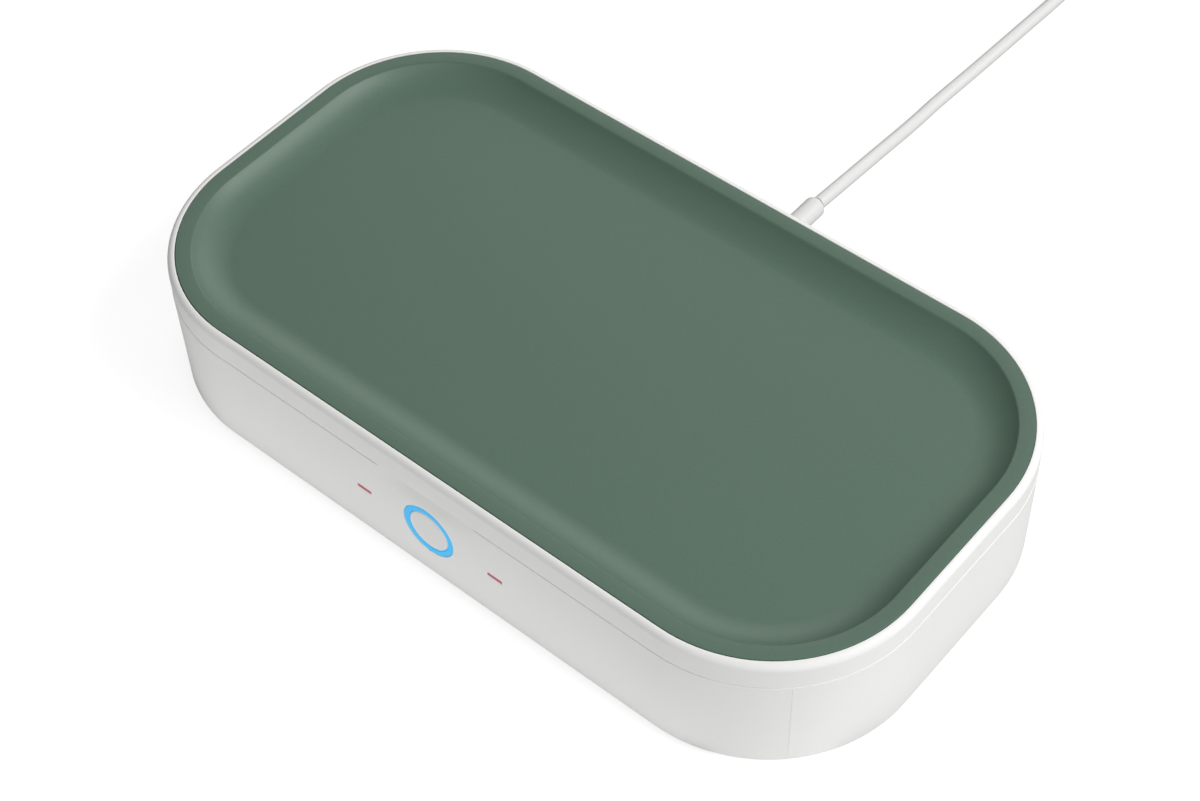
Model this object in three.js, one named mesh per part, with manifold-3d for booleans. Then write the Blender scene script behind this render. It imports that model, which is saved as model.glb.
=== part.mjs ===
// A box that cleans a phone with ultraviolet light, with a charging tray for a lid.
// Millimetres, +Z up, X along the box, the button on the -Y side, the floor at z = 0.
import * as THREE from "three";
import { mergeVertices } from "three/addons/utils/BufferGeometryUtils.js";
import Module from "manifold-3d";

const wasm = await Module();
wasm.setup();

// Overall sizes
const boxLength = 232;
const boxWidth = 127.3;
const cornerRadius = 43.5;
const footProjection = 1.2;
const baseHeight = 32.1;
const seamGap = 0.4;
const lidHeight = 7.9;

// Clearances shared by all pieces
const fitGap = 0.3;
const lensGap = 0.2;
const cutOverrun = 1;
const joinOverlap = 0.5;
const slightOverlap = 0.1;

// Counts of steps and sides on round shapes
const cornerSteps = 8;
const edgeSteps = 2;
const dishSteps = 5;
const roundSides = 20;
const smallSides = 10;
const leadSides = 5;
const ringSides = 32;
const sectionSteps = 3;

// Base shell
const baseWall = 2.4;
const baseEdgeRound = 1;
const seamRound = 0.35;
const ledgeWidth = 1.5;
const ledgeThickness = 2;
const lowerLedgeThickness = 1.5;

// Thumb scoop, a shallow dish in the base's top edge under the lid
const scoopWidth = 33;
const scoopHeight = 6.4;
const scoopDepth = 1.2;
const scoopCapShare = 0.5;

// Bottom cover, its screws and the feet
const coverThickness = 2.2;
const coverRecess = 0.3;
const coverChamfer = 0.4;
const footRadius = 6;
const footSeat = 0.9;
const footChamfer = 0.5;
const footInsetX = 36;
const footInsetY = 16.15;
const coverScrewInsetX = 24;
const coverScrewInsetY = 33.65;
const coverScrewHeadRadius = 2.6;
const coverScrewHeadHeight = 1;
const coverScrewShankRadius = 1.25;
const coverScrewShankLength = 6;
const linerBossRadius = 3.2;
const linerBossHoleDepth = 5.5;
const crossWidth = 0.7;
const crossDepth = 0.5;
const crossLengthShare = 1.2;

// Chamber liner, the tub that the phone lies in
const linerDrop = 0.4;
const linerFlange = 1.5;
const linerWall = 1.5;
const linerFloor = 2;
const chamberInset = 14;
const chamberDepth = 19.2;
const chamberRound = 1.5;
const ribHeight = 2;
const ribWidth = 1.6;
const ribLength = 66;
const ribPlaceShares = [-0.4, -0.2, -0.07, 0.07, 0.2, 0.4];

// Ultraviolet windows and lamp boards, alike in the base and the lid
const lampSpacing = 124;
const windowRadius = 7;
const windowThickness = 0.9;
const windowSeatGap = 0.3;
const lampHoleRadius = 5.5;
const lampBoardSize = 22;
const lampBoardThickness = 1;
const lampSize = 3.5;

// Main board, on four posts of the bottom cover with a peg on each
const mainBoardLength = 96;
const mainBoardWidth = 44;
const mainBoardThickness = 1.6;
const mainBoardPostHeight = 2.6;
const boardPostRadius = 2.1;
const boardPegRadius = 0.9;
const boardPostInset = 4;
const chipHeight = 1.2;
const coilHeight = 2.8;

// Button, its light ring and its switch
const buttonHeight = 17.9;
const ringRadius = 8.2;
const ringBand = 1.6;
const ringFlangeRadius = 9.3;
const ringFlangeThickness = 1.2;
const ringTubeWall = 0.9;
const ringStep = 2;
const ringLength = 8.2;
const buttonTravel = 0.8;
const capEdgeRound = 0.3;
const capFlange = 1;
const capStemRadius = 1.8;
const capStemLength = 1.6;
const plungerRadius = 1.6;
const plungerLength = 2;
const plungerReach = 1.2;
const switchWidth = 6;
const switchDepth = 2.6;

// Red marks beside the button
const markSpacing = 44.2;
const markDrop = 0.6;
const markLength = 4.5;
const markHeight = 0.9;
const markHeadMargin = 0.6;

// Front board, behind the button
const frontBoardLength = 60;
const frontBoardHeight = 14;
const frontBoardThickness = 1;
const frontBossSpacing = 55;
const frontBossRadius = 2;
const frontBossHoleDepth = 4.5;
const boardScrewHeadRadius = 1.8;
const boardScrewHeadHeight = 0.9;
const boardScrewShankRadius = 0.75;
const boardScrewShankLength = 4;
const lightSize = 1.2;
const lightDepth = 0.8;

// Power socket, on a small board inside the back wall
const portX = 5;
const portHeight = 12;
const socketWidth = 9;
const socketHeight = 3.2;
const socketLength = 7.4;
const socketWall = 0.3;
const socketBack = 0.6;
const socketRecess = 0.9;
const tongueWidth = 6.6;
const tongueHeight = 0.6;
const tongueLength = 5.2;
const portBoardLength = 16;
const portBoardDepth = 8.5;
const portBoardThickness = 1;
const portBoardSetback = 2.7;
const portPostSpacing = 9;

// Hinge, three knuckles and a pin on each side of the middle
const hingeSetback = 2.9;
const hingeDrop = 3;
const knuckleRadius = 2.5;
const knuckleGap = 0.3;
const pinRadius = 1;
const pinInset = 0.8;
const hingeInnerX = 18;
const innerKnuckleLength = 8;
const lidKnuckleLength = 11.7;
const outerKnuckleLength = 8;
const wallClearance = 0.4;
const gussetRise = 1.6;
const gussetDrop = 7;
const armRise = 5.4;
const baseBarrelFrom = 120;
const baseBarrelTo = -50;
const lidBarrelFrom = 35;
const lidBarrelTo = -180;

// Lead to the lid, through a hollow pair of knuckles in the middle of the hinge
const leadRadius = 0.5;
const leadBoreRadius = 0.8;
const leadKnuckleLength = 5.8;
const leadKnuckleGap = 0.4;
const leadBendX = 4;
const leadBend = 2.5;
const leadBendSteps = 3;
const leadRiseInset = 7;
const leadStartX = 20;
const leadArmSetback = 1.7;
const leadArmRise = 3.9;
const leadWallInset = 0.5;
const leadLidRise = 5;
const leadLidInset = 19;
const leadLidDropInset = 21.5;
const leadEndY = 15;

// Magnets and the sensor for the closed lid
const magnetRadius = 2.5;
const magnetThickness = 1.4;
const magnetEndInset = 56;
const magnetInset = 8;
const magnetCupWall = 0.7;
const magnetCupHeight = 1.6;
const sensorSetoff = 12;
const sensorLength = 10;
const sensorWidth = 5;
const sensorThickness = 1;

// Lid frame
const lidWall = 2.2;
const rimRound = 1.8;
const rimInnerRound = 0.25;
const trayDrop = 0.1;
const lidLedgeWidth = 3.6;
const lidLedgeThickness = 1.5;
const lidScrewInset = 5.9;
const lidBossRadius = 1.9;
const lidBossOverlap = 0.1;
const lidScrewHeadRadius = 1.7;
const lidScrewHeadHeight = 0.6;
const lidScrewShankRadius = 0.75;
const lidScrewShankLength = 3.6;
const lidScrewHeadProud = 0.25;

// Charging tray
const trayGap = 0.2;
const trayBand = 3.85;
const trayRimThickness = 1.4;
const trayDishWidth = 10.6;
const trayDepth = 4.7;
const trayFloor = 1;

// Charging coil, ferrite and charging board under the tray
const coilInnerRadius = 8;
const coilOuterRadius = 22;
const coilThickness = 1;
const ferriteRadius = 24;
const ferriteThickness = 0.8;
const chargeBoardX = 38;
const chargeBoardLength = 20;
const chargeBoardWidth = 40;
const chargeBoardThickness = 1;
const chargePartHeight = 1.6;
const chargePartSize = 6.6;
const chargePartPlaceShares = [-0.3, 0, 0.3];

// Lid inner cover, the ceiling of the chamber, and its rubber light seal
const innerCoverLower = 0.3;
const innerCoverFlange = 1.2;
const innerCoverInset = 15.2;
const innerCoverWall = 1.6;
const innerCoverDrop = 3.4;
const innerCoverFloor = 2;
const innerCoverRound = 1;
const screwSeatDepth = 0.65;
const sealInset = 9.6;
const sealWidth = 2;
const sealThickness = 0.6;
const sealProud = 0.3;

// Plug, cord and its coil; the cord's length is about 1.2 m
const plugWidth = 11;
const plugHeight = 6.5;
const plugLength = 18;
const plugRound = 2.6;
const sleeveRadius = 3.15;
const sleeveLength = 11.3;
const sleeveChamfer = 1.1;
const plugShellWidth = 8;
const plugShellHeight = 2.2;
const plugShellWall = 0.3;
const plugShellLength = 6.2;
const cordRadius = 2;
const cordSides = 10;
const cordSteps = 16;
const tieThickness = 1;
const tieWidth = 8;
const tieGap = 0.35;
const coilRadius = 30.2;
const coilPitch = 4.5;
const coilTurnsInLayer = 3.625;
const coilTurnSteps = 24;
const coilSides = 6;
const coilLead = 4;
const coilTail = 27;
const coilTailSteps = 6;
const coilLevelShare = 0.3;
const coilCentre = [-25.3, 247];
const cordRoute = [
  [5.3, 101, 13],
  [4.7, 113, 10.9],
  [3.4, 126, 7.5],
  [2.2, 138, 4.3],
  [1.6, 148, 2.5],
  [1.6, 158, 2.15],
  [2.6, 179, 2.1],
  [3.5, 201, 2.1],
  [4.3, 221, 2.15],
  [4.8, 234, 2.7],
];
const usbWidth = 15.6;
const usbHeight = 7.8;
const usbLength = 21;
const usbRound = 1.6;
const usbShellWidth = 12;
const usbShellHeight = 4.5;
const usbShellWall = 0.3;
const usbShellLength = 12.5;
const usbTongueWidth = 10.6;
const usbTongueHeight = 1.8;
const usbTongueLength = 11;

// Levels
const baseBottom = footProjection;
const baseTop = baseBottom + baseHeight;
const lidBottom = baseTop + seamGap;
const lidTop = lidBottom + lidHeight;
const coverBottom = baseBottom + coverRecess;
const coverTop = coverBottom + coverThickness;
const linerTop = baseTop - linerDrop;
const flangeBottom = linerTop - linerFlange;
const chamberFloor = linerTop - chamberDepth;
const linerUnderside = chamberFloor - linerFloor;
const ledgeTop = flangeBottom - fitGap;
const lowerLedgeBottom = coverTop + fitGap;
const mainBoardBottom = coverTop + mainBoardPostHeight + fitGap;
const mainBoardTop = mainBoardBottom + mainBoardThickness;
const buttonZ = baseBottom + buttonHeight;
const markZ = buttonZ - markDrop;
const portZ = baseBottom + portHeight;
const portBoardTop = portZ - socketHeight / 2 - fitGap;
const portBoardBottom = portBoardTop - portBoardThickness;
const hingeZ = baseTop - hingeDrop;
const trayTop = lidTop - trayDrop;
const trayFloorTop = trayTop - trayDepth;
const trayUnderside = trayFloorTop - trayFloor;
const lidLedgeTop = trayTop - trayRimThickness - fitGap;
const lidLedgeBottom = lidLedgeTop - lidLedgeThickness;
const innerFlangeBottom = lidBottom - innerCoverLower;
const innerFlangeTop = innerFlangeBottom + innerCoverFlange;
const ceilingBottom = innerFlangeBottom - innerCoverDrop;
const ceilingTop = ceilingBottom + innerCoverFloor;

// Places along Y
const frontY = -boxWidth / 2;
const backY = boxWidth / 2;
const hingeY = backY + hingeSetback;
const hingeOverhang = hingeSetback + knuckleRadius;

// Places along X, of the right one where there are two
const lampX = lampSpacing / 2;
const magnetX = boxLength / 2 - magnetEndInset;
const markX = markSpacing / 2;
const frontBossX = frontBossSpacing / 2;

// Depths behind the front face, from the ring's tube and the switch that it surrounds
const frontBoardDepth = ringLength + fitGap + lightDepth;
const switchFront = frontBoardDepth - fitGap - switchDepth;
const plungerFront = switchFront - plungerReach;
const boardScrewHoleRadius = boardScrewShankRadius + fitGap;

const whitePlastic = material("#f1f1ef", 0.38);
const greenPlastic = material("#64786b", 0.7);
const capPlastic = material("#eeeeec", 0.38);
const blueLight = material("#46b4f5", 0.4);
const redLight = material("#b5525c", 0.4);
const linerPlastic = material("#d9dcde", 0.2, 0.8);
const coverPlastic = material("#e9e9e7", 0.5);
const footRubber = material("#c9c9c6", 0.9);
const sealRubber = material("#8d9290", 0.9);
const circuitBoard = material("#2c5a3c", 0.6);
const switchPlastic = material("#26282a", 0.5);
const steel = material("#b9bcc0", 0.3, 1);
const magnetMetal = material("#c4c6ca", 0.25, 1);
const windowGlass = material("#dfe9ee", 0.05);
const copper = material("#b8703c", 0.35, 1);
const ferrite = material("#3a3a3c", 0.8);
const leadJacket = material("#303234", 0.6);
const cordJacket = material("#efefed", 0.45);
const tieFabric = material("#dcdcda", 0.9);

function material(color, roughness, metalness = 0) {
  return new THREE.MeshStandardMaterial({ color, roughness, metalness });
}

// Turns a closed geometry into a solid, with shared vertices merged and faces pointing out
function toSolid(geometry) {
  geometry.deleteAttribute("normal");
  geometry.deleteAttribute("uv");
  const merged = mergeVertices(geometry);
  const position = merged.getAttribute("position");
  const index = merged.getIndex().array;
  const triangles = [];
  for (let i = 0; i < index.length; i += 3) {
    const [a, b, c] = index.slice(i, i + 3);
    if (a !== b && b !== c && c !== a) {
      triangles.push(a, b, c);
    }
  }
  if (signedVolume(position, triangles) < 0) {
    triangles.reverse();
  }
  return new wasm.Manifold(new wasm.Mesh({
    numProp: 3,
    vertProperties: new Float32Array(position.array),
    triVerts: new Uint32Array(triangles),
  }));
}

function signedVolume(position, triangles) {
  const corners = [new THREE.Vector3(), new THREE.Vector3(), new THREE.Vector3()];
  let volume = 0;
  for (let i = 0; i < triangles.length; i += 3) {
    corners.forEach((corner, k) => corner.fromBufferAttribute(position, triangles[i + k]));
    volume += corners[0].dot(corners[1].cross(corners[2]));
  }
  return volume;
}

function toGeometry(solid) {
  const mesh = solid.getMesh();
  const geometry = new THREE.BufferGeometry();
  geometry.setAttribute("position", new THREE.BufferAttribute(mesh.vertProperties, 3));
  geometry.setIndex(new THREE.BufferAttribute(mesh.triVerts, 1));
  geometry.computeVertexNormals();
  return geometry;
}

// Skins a stack of loops that have the same number of points; a closed stack joins its last loop
// to its first, and an open one is capped at both ends
function loft(loops, closed = false) {
  const count = loops[0].length;
  const bands = closed ? loops.length : loops.length - 1;
  const triangles = [];
  for (let band = 0; band < bands; band++) {
    const lower = band * count;
    const upper = ((band + 1) % loops.length) * count;
    for (let i = 0; i < count; i++) {
      const next = (i + 1) % count;
      triangles.push(lower + i, lower + next, upper + next);
      triangles.push(lower + i, upper + next, upper + i);
    }
  }
  const last = (loops.length - 1) * count;
  for (let i = 1; i < count - 1 && !closed; i++) {
    triangles.push(0, i + 1, i);
    triangles.push(last, last + i, last + i + 1);
  }
  const geometry = new THREE.BufferGeometry().setFromPoints(loops.flat());
  geometry.setIndex(triangles);
  return toSolid(geometry);
}

// The box's outline, drawn in by an inset, with the same points round it at every inset
function outline(inset, level) {
  const signs = [[1, 1], [-1, 1], [-1, -1], [1, -1]];
  return signs.flatMap(([signX, signY], corner) => {
    const points = [];
    for (let step = 0; step <= cornerSteps; step++) {
      const angle = (corner + step / cornerSteps) * Math.PI / 2;
      const x = signX * (boxLength / 2 - cornerRadius) + (cornerRadius - inset) * Math.cos(angle);
      const y = signY * (boxWidth / 2 - cornerRadius) + (cornerRadius - inset) * Math.sin(angle);
      points.push(new THREE.Vector3(x, y, level));
    }
    return points;
  });
}

// A solid from [inset, level] pairs: from its underside, up its outer side, and over to its top
function plateOf(profile) {
  return loft(profile.map(([inset, level]) => outline(inset, level)));
}

// A ring from a closed profile of [inset, level] pairs
function ringOf(profile) {
  return loft(profile.map(([inset, level]) => outline(inset, level)), true);
}

// Points of an arc in a profile, about a centre, angles in degrees from the inward direction
function arc(inset, level, radius, from, to, steps) {
  const points = [];
  for (let step = 0; step <= steps; step++) {
    const angle = THREE.MathUtils.degToRad(from + (to - from) * step / steps);
    points.push([inset + radius * Math.cos(angle), level + radius * Math.sin(angle)]);
  }
  return points;
}

// A point at an inset from the outline, on the diagonal of a corner
function cornerPoint(signX, signY, inset) {
  const reach = (cornerRadius - inset) * Math.SQRT1_2;
  return [
    signX * (boxLength / 2 - cornerRadius + reach),
    signY * (boxWidth / 2 - cornerRadius + reach),
  ];
}

// A block between two corners
function block(low, high) {
  const size = high.map((value, axis) => value - low[axis]);
  const geometry = new THREE.BoxGeometry(...size);
  geometry.translate(...high.map((value, axis) => (value + low[axis]) / 2));
  return toSolid(geometry);
}

// A block by its size in plan, standing between two levels
function slab(x, y, length, width, bottom, top) {
  return block([x - length / 2, y - width / 2, bottom], [x + length / 2, y + width / 2, top]);
}

// Turns a profile of [radius, along] pairs round the Z axis; it closes on itself or on the axis
function turned(profile, sides) {
  const points = profile.map(([radius, along]) => new THREE.Vector2(radius, along));
  const closed = profile[0][0] > 0 || profile.at(-1)[0] > 0;
  const geometry = new THREE.LatheGeometry(closed ? [...points, points[0]] : points, sides);
  geometry.rotateX(Math.PI / 2);
  return toSolid(geometry);
}

// A round bar along Z, and the same laid along X or Y, between two stations
function bar(radius, from, to, sides = roundSides) {
  return turned([[0, from], [radius, from], [radius, to], [0, to]], sides);
}

function barX(radius, from, to, y, z, sides = smallSides) {
  return bar(radius, from, to, sides).rotate([0, 90, 0]).translate([0, y, z]);
}

function barY(radius, from, to, x, z, sides = roundSides) {
  return bar(radius, from, to, sides).rotate([-90, 0, 0]).translate([x, 0, z]);
}

// A tube of constant section along a chain of points
function tube(points, radius, sides) {
  const normal = new THREE.Vector3();
  let before = null;
  const loops = points.map((point, i) => {
    const ahead = points[Math.min(i + 1, points.length - 1)];
    const behind = points[Math.max(i - 1, 0)];
    const tangent = ahead.clone().sub(point).normalize();
    tangent.add(point.clone().sub(behind).normalize()).normalize();
    if (before === null) {
      normal.copy(Math.abs(tangent.z) > Math.SQRT1_2 ? vector(1, 0, 0) : vector(0, 0, 1));
    } else {
      normal.applyQuaternion(new THREE.Quaternion().setFromUnitVectors(before, tangent));
    }
    before = tangent;
    normal.addScaledVector(tangent, -normal.dot(tangent)).normalize();
    const side = tangent.clone().cross(normal);
    const loop = [];
    for (let k = 0; k < sides; k++) {
      const angle = 2 * Math.PI * (k + 1 / 2) / sides;
      loop.push(point.clone()
        .addScaledVector(normal, radius * Math.cos(angle))
        .addScaledVector(side, radius * Math.sin(angle)));
    }
    return loop;
  });
  return loft(loops);
}

// A chain of points through the given corners, each corner rounded by a short curve
function rounded(corners, bend) {
  const points = [corners[0]];
  for (let i = 1; i < corners.length - 1; i++) {
    const before = corners[i - 1].clone().sub(corners[i]);
    const after = corners[i + 1].clone().sub(corners[i]);
    const reach = Math.min(bend, before.length() / 2, after.length() / 2);
    const curve = new THREE.QuadraticBezierCurve3(
      corners[i].clone().addScaledVector(before.normalize(), reach),
      corners[i],
      corners[i].clone().addScaledVector(after.normalize(), reach),
    );
    points.push(...curve.getPoints(leadBendSteps));
  }
  return [...points, corners.at(-1)];
}

function vector(x, y, z) {
  return new THREE.Vector3(x, y, z);
}

// A prism along Y of a section drawn in X and Z, about a centre
function prismY(section, from, to, x, z) {
  const options = { depth: to - from, bevelEnabled: false, curveSegments: sectionSteps };
  const geometry = new THREE.ExtrudeGeometry(section, options);
  geometry.rotateX(Math.PI / 2);
  geometry.translate(x, to, z);
  return toSolid(geometry);
}

// A rectangle with rounded corners, about the origin
function roundedSection(width, height, radius) {
  const x = width / 2;
  const y = height / 2;
  const section = new THREE.Shape();
  section.moveTo(radius - x, -y);
  section.lineTo(x - radius, -y);
  section.absarc(x - radius, radius - y, radius, -Math.PI / 2, 0);
  section.lineTo(x, y - radius);
  section.absarc(x - radius, y - radius, radius, 0, Math.PI / 2);
  section.lineTo(radius - x, y);
  section.absarc(radius - x, y - radius, radius, Math.PI / 2, Math.PI);
  section.lineTo(-x, radius - y);
  section.absarc(radius - x, radius - y, radius, Math.PI, 3 * Math.PI / 2);
  return section;
}

// A flat bar's section with fully rounded ends
function stadium(width, height) {
  return roundedSection(width, height, height / 2);
}

// A slab of knuckle along X from an outline in Y and Z
function knuckle(points, from, to) {
  const options = { depth: to - from, bevelEnabled: false };
  const geometry = new THREE.ExtrudeGeometry(new THREE.Shape(points), options);
  const alongX = new THREE.Matrix4().makeBasis(vector(0, 1, 0), vector(0, 0, 1), vector(1, 0, 0));
  geometry.applyMatrix4(alongX);
  geometry.translate(from, 0, 0);
  return toSolid(geometry);
}

// Points round the hinge barrel, clockwise, in degrees from +Y
function barrelPoints(from, to) {
  const points = [];
  const steps = Math.ceil((from - to) / (360 / roundSides));
  for (let step = 0; step <= steps; step++) {
    const angle = THREE.MathUtils.degToRad(from + (to - from) * step / steps);
    points.push(new THREE.Vector2(
      hingeY + knuckleRadius * Math.cos(angle),
      hingeZ + knuckleRadius * Math.sin(angle),
    ));
  }
  return points;
}

// A base knuckle hangs on a gusset that runs down the back wall
function baseKnuckle(from, to) {
  const root = backY - joinOverlap;
  return knuckle([
    new THREE.Vector2(root, hingeZ + gussetRise),
    ...barrelPoints(baseBarrelFrom, baseBarrelTo),
    new THREE.Vector2(root, hingeZ - gussetDrop),
  ], from, to);
}

// A lid knuckle hangs on an arm that clears the base's back wall
function lidKnuckle(from, to) {
  const root = backY - joinOverlap;
  const armFoot = lidBottom + fitGap;
  return knuckle([
    new THREE.Vector2(backY + wallClearance, armFoot),
    new THREE.Vector2(root, armFoot),
    new THREE.Vector2(root, lidBottom + armRise),
    new THREE.Vector2(backY, lidBottom + armRise),
    ...barrelPoints(lidBarrelFrom, lidBarrelTo),
  ], from, to);
}

// The stations of one side's knuckles along X, from the middle out
const innerKnuckleEnd = hingeInnerX + innerKnuckleLength;
const lidKnuckleStart = innerKnuckleEnd + knuckleGap;
const lidKnuckleEnd = lidKnuckleStart + lidKnuckleLength;
const outerKnuckleStart = lidKnuckleEnd + knuckleGap;
const outerKnuckleEnd = outerKnuckleStart + outerKnuckleLength;

// The bore for a pin, open at the outer end
function pinBore() {
  return barX(pinRadius + fitGap, hingeInnerX + joinOverlap, outerKnuckleEnd + cutOverrun, hingeY, hingeZ);
}

function bothSides(solid) {
  return solid.add(solid.mirror([1, 0, 0]));
}

// The lead to the lid, in the base: up behind the liner and out through the hollow knuckle
function baseLeadCorners() {
  const riseY = backY - leadRiseInset;
  const startZ = mainBoardTop + fitGap + leadRadius;
  return [
    vector(-leadStartX, mainBoardWidth / 2 - boardPostInset, startZ),
    vector(-leadStartX, riseY, startZ),
    vector(-leadStartX, riseY, hingeZ),
    vector(-leadBendX, riseY, hingeZ),
    vector(-leadBendX, hingeY, hingeZ),
    vector(-fitGap / 2, hingeY, hingeZ),
  ];
}

// The same lead in the lid: up the arm, over the inner cover's flange and down to the board
function lidLeadCorners() {
  const lidZ = hingeZ + leadLidRise;
  const boardZ = ceilingTop + fitGap + leadRadius;
  return [
    vector(fitGap / 2, hingeY, hingeZ),
    vector(leadBendX, hingeY, hingeZ),
    vector(leadBendX, backY + leadArmSetback, hingeZ + leadArmRise),
    vector(leadBendX, backY - leadWallInset, lidZ),
    vector(leadBendX, backY - leadLidInset, lidZ),
    vector(leadBendX, backY - leadLidDropInset, boardZ),
    vector(leadBendX, leadEndY, boardZ),
    vector(chargeBoardX - chargeBoardLength / 2 - fitGap, leadEndY, boardZ),
  ];
}

function leadBore(corners) {
  return tube(rounded(corners, leadBend), leadBoreRadius, leadSides);
}

// The dish for a thumb, a flattened cap, widest at the base's top edge
function scoop() {
  const capRadiusShare = Math.sqrt(1 - scoopCapShare ** 2);
  const depthScale = scoopDepth / (1 - scoopCapShare);
  const geometry = new THREE.SphereGeometry(1, roundSides, smallSides);
  geometry.rotateX(Math.PI / 2);
  geometry.scale(scoopWidth / 2 / capRadiusShare, depthScale, scoopHeight / capRadiusShare);
  geometry.translate(0, frontY - depthScale * scoopCapShare, baseTop);
  return toSolid(geometry);
}

// Screw standing on its head
function screw(headRadius, headHeight, shankRadius, shankLength) {
  const length = headHeight + shankLength;
  return turned([
    [0, 0],
    [headRadius, 0],
    [headRadius, headHeight],
    [shankRadius, headHeight],
    [shankRadius, length],
    [0, length],
  ], smallSides);
}

// Cuts a cross for the screwdriver into the head's face
function crossed(body, headRadius) {
  const crossLength = headRadius * crossLengthShare;
  const cross = slab(0, 0, crossLength, crossWidth, -crossDepth, crossDepth)
    .add(slab(0, 0, crossWidth, crossLength, -crossDepth, crossDepth));
  return body.subtract(cross);
}

function baseShell() {
  const ledgeInner = baseWall + ledgeWidth;
  let shell = ringOf([
    ...arc(baseEdgeRound, baseBottom + baseEdgeRound, baseEdgeRound, 270, 180, edgeSteps),
    ...arc(seamRound, baseTop - seamRound, seamRound, 180, 90, edgeSteps),
    [baseWall, baseTop],
    [baseWall, ledgeTop],
    [ledgeInner, ledgeTop],
    [ledgeInner, ledgeTop - ledgeThickness],
    [baseWall, ledgeTop - ledgeThickness],
    [baseWall, lowerLedgeBottom + lowerLedgeThickness],
    [ledgeInner, lowerLedgeBottom + lowerLedgeThickness],
    [ledgeInner, lowerLedgeBottom],
    [baseWall, lowerLedgeBottom],
    [baseWall, baseBottom],
  ]);
  const bossRoot = frontY + baseWall - joinOverlap;
  const bossEnd = frontY + frontBoardDepth - fitGap;
  const holeStart = bossEnd - frontBossHoleDepth;
  const outside = frontY - cutOverrun;
  const inside = frontY + baseWall + cutOverrun;
  const mark = roundedSection(markLength + 2 * lensGap, markHeight + 2 * lensGap, lensGap);
  for (const side of [-1, 1]) {
    const x = side * frontBossX;
    const boss = barY(frontBossRadius, bossRoot, bossEnd, x, buttonZ, smallSides);
    const hole = barY(boardScrewHoleRadius, holeStart, bossEnd + cutOverrun, x, buttonZ, smallSides);
    shell = shell.add(boss).subtract(hole);
    shell = shell.subtract(prismY(mark, outside, inside, side * markX, markZ));
  }
  shell = shell.subtract(barY(ringRadius + lensGap, outside, inside, 0, buttonZ));
  shell = shell.subtract(scoop());
  const port = stadium(socketWidth + 2 * fitGap, socketHeight + 2 * fitGap);
  shell = shell.subtract(prismY(port, backY - baseWall - cutOverrun, backY + cutOverrun, portX, portZ));
  const knuckles = baseKnuckle(hingeInnerX, innerKnuckleEnd)
    .add(baseKnuckle(outerKnuckleStart, outerKnuckleEnd))
    .subtract(pinBore());
  shell = shell.add(bothSides(knuckles));
  const leadKnuckleEnd = leadKnuckleGap / 2 + leadKnuckleLength;
  shell = shell.add(baseKnuckle(-leadKnuckleEnd, -leadKnuckleGap / 2));
  return shell.subtract(leadBore(baseLeadCorners().slice(2)));
}

// The places of the posts, in the order front left, front right, back left, back right
function fourPlaces(spanX, spanY) {
  const places = [];
  for (const signY of [-1, 1]) {
    for (const signX of [-1, 1]) {
      places.push([signX * spanX / 2, signY * spanY / 2]);
    }
  }
  return places;
}

const footPlaces = fourPlaces(boxLength - 2 * footInsetX, boxWidth - 2 * footInsetY);
const coverScrewPlaces = fourPlaces(
  boxLength - 2 * coverScrewInsetX,
  boxWidth - 2 * coverScrewInsetY,
);
const boardPostPlaces = fourPlaces(
  mainBoardLength - 2 * boardPostInset,
  mainBoardWidth - 2 * boardPostInset,
);
const portPostPlaces = [-1, 1].map((side) => [
  portX + side * portPostSpacing / 2,
  backY - portBoardSetback - portBoardDepth / 2,
]);

function bottomCover() {
  const inset = baseWall + fitGap;
  let cover = plateOf([
    [inset + coverChamfer, coverBottom],
    [inset, coverBottom + coverChamfer],
    [inset, coverTop],
  ]);
  for (const [x, y] of footPlaces) {
    const recess = bar(footRadius + fitGap, coverBottom - cutOverrun, coverBottom + footSeat);
    cover = cover.subtract(recess.translate([x, y, 0]));
  }
  for (const [x, y] of coverScrewPlaces) {
    const seat = coverBottom + coverScrewHeadHeight + fitGap;
    const hole = bar(coverScrewHeadRadius + fitGap, coverBottom - cutOverrun, seat, smallSides)
      .add(bar(coverScrewShankRadius + fitGap, coverBottom, coverTop + cutOverrun, smallSides));
    cover = cover.subtract(hole.translate([x, y, 0]));
  }
  const postBottom = coverTop - joinOverlap;
  for (const [x, y] of boardPostPlaces) {
    const post = bar(boardPostRadius, postBottom, mainBoardBottom - fitGap, smallSides)
      .add(bar(boardPegRadius, postBottom, mainBoardTop, smallSides));
    cover = cover.add(post.translate([x, y, 0]));
  }
  for (const [x, y] of portPostPlaces) {
    const post = bar(boardPostRadius, postBottom, portBoardBottom - fitGap, smallSides)
      .add(bar(boardPegRadius, postBottom, portBoardTop, smallSides));
    cover = cover.add(post.translate([x, y, 0]));
  }
  return cover;
}

// Cuts the holes for the pegs of the posts that carry a board
function pegged(board, places, bottom, top) {
  let result = board;
  for (const [x, y] of places) {
    const hole = bar(boardPegRadius + fitGap, bottom - cutOverrun, top + cutOverrun, smallSides);
    result = result.subtract(hole.translate([x, y, 0]));
  }
  return result;
}

function foot() {
  const height = footProjection + coverRecess + footSeat - fitGap;
  return turned([
    [0, 0],
    [footRadius - footChamfer, 0],
    [footRadius, footChamfer],
    [footRadius, height],
    [0, height],
  ], roundSides);
}

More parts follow.
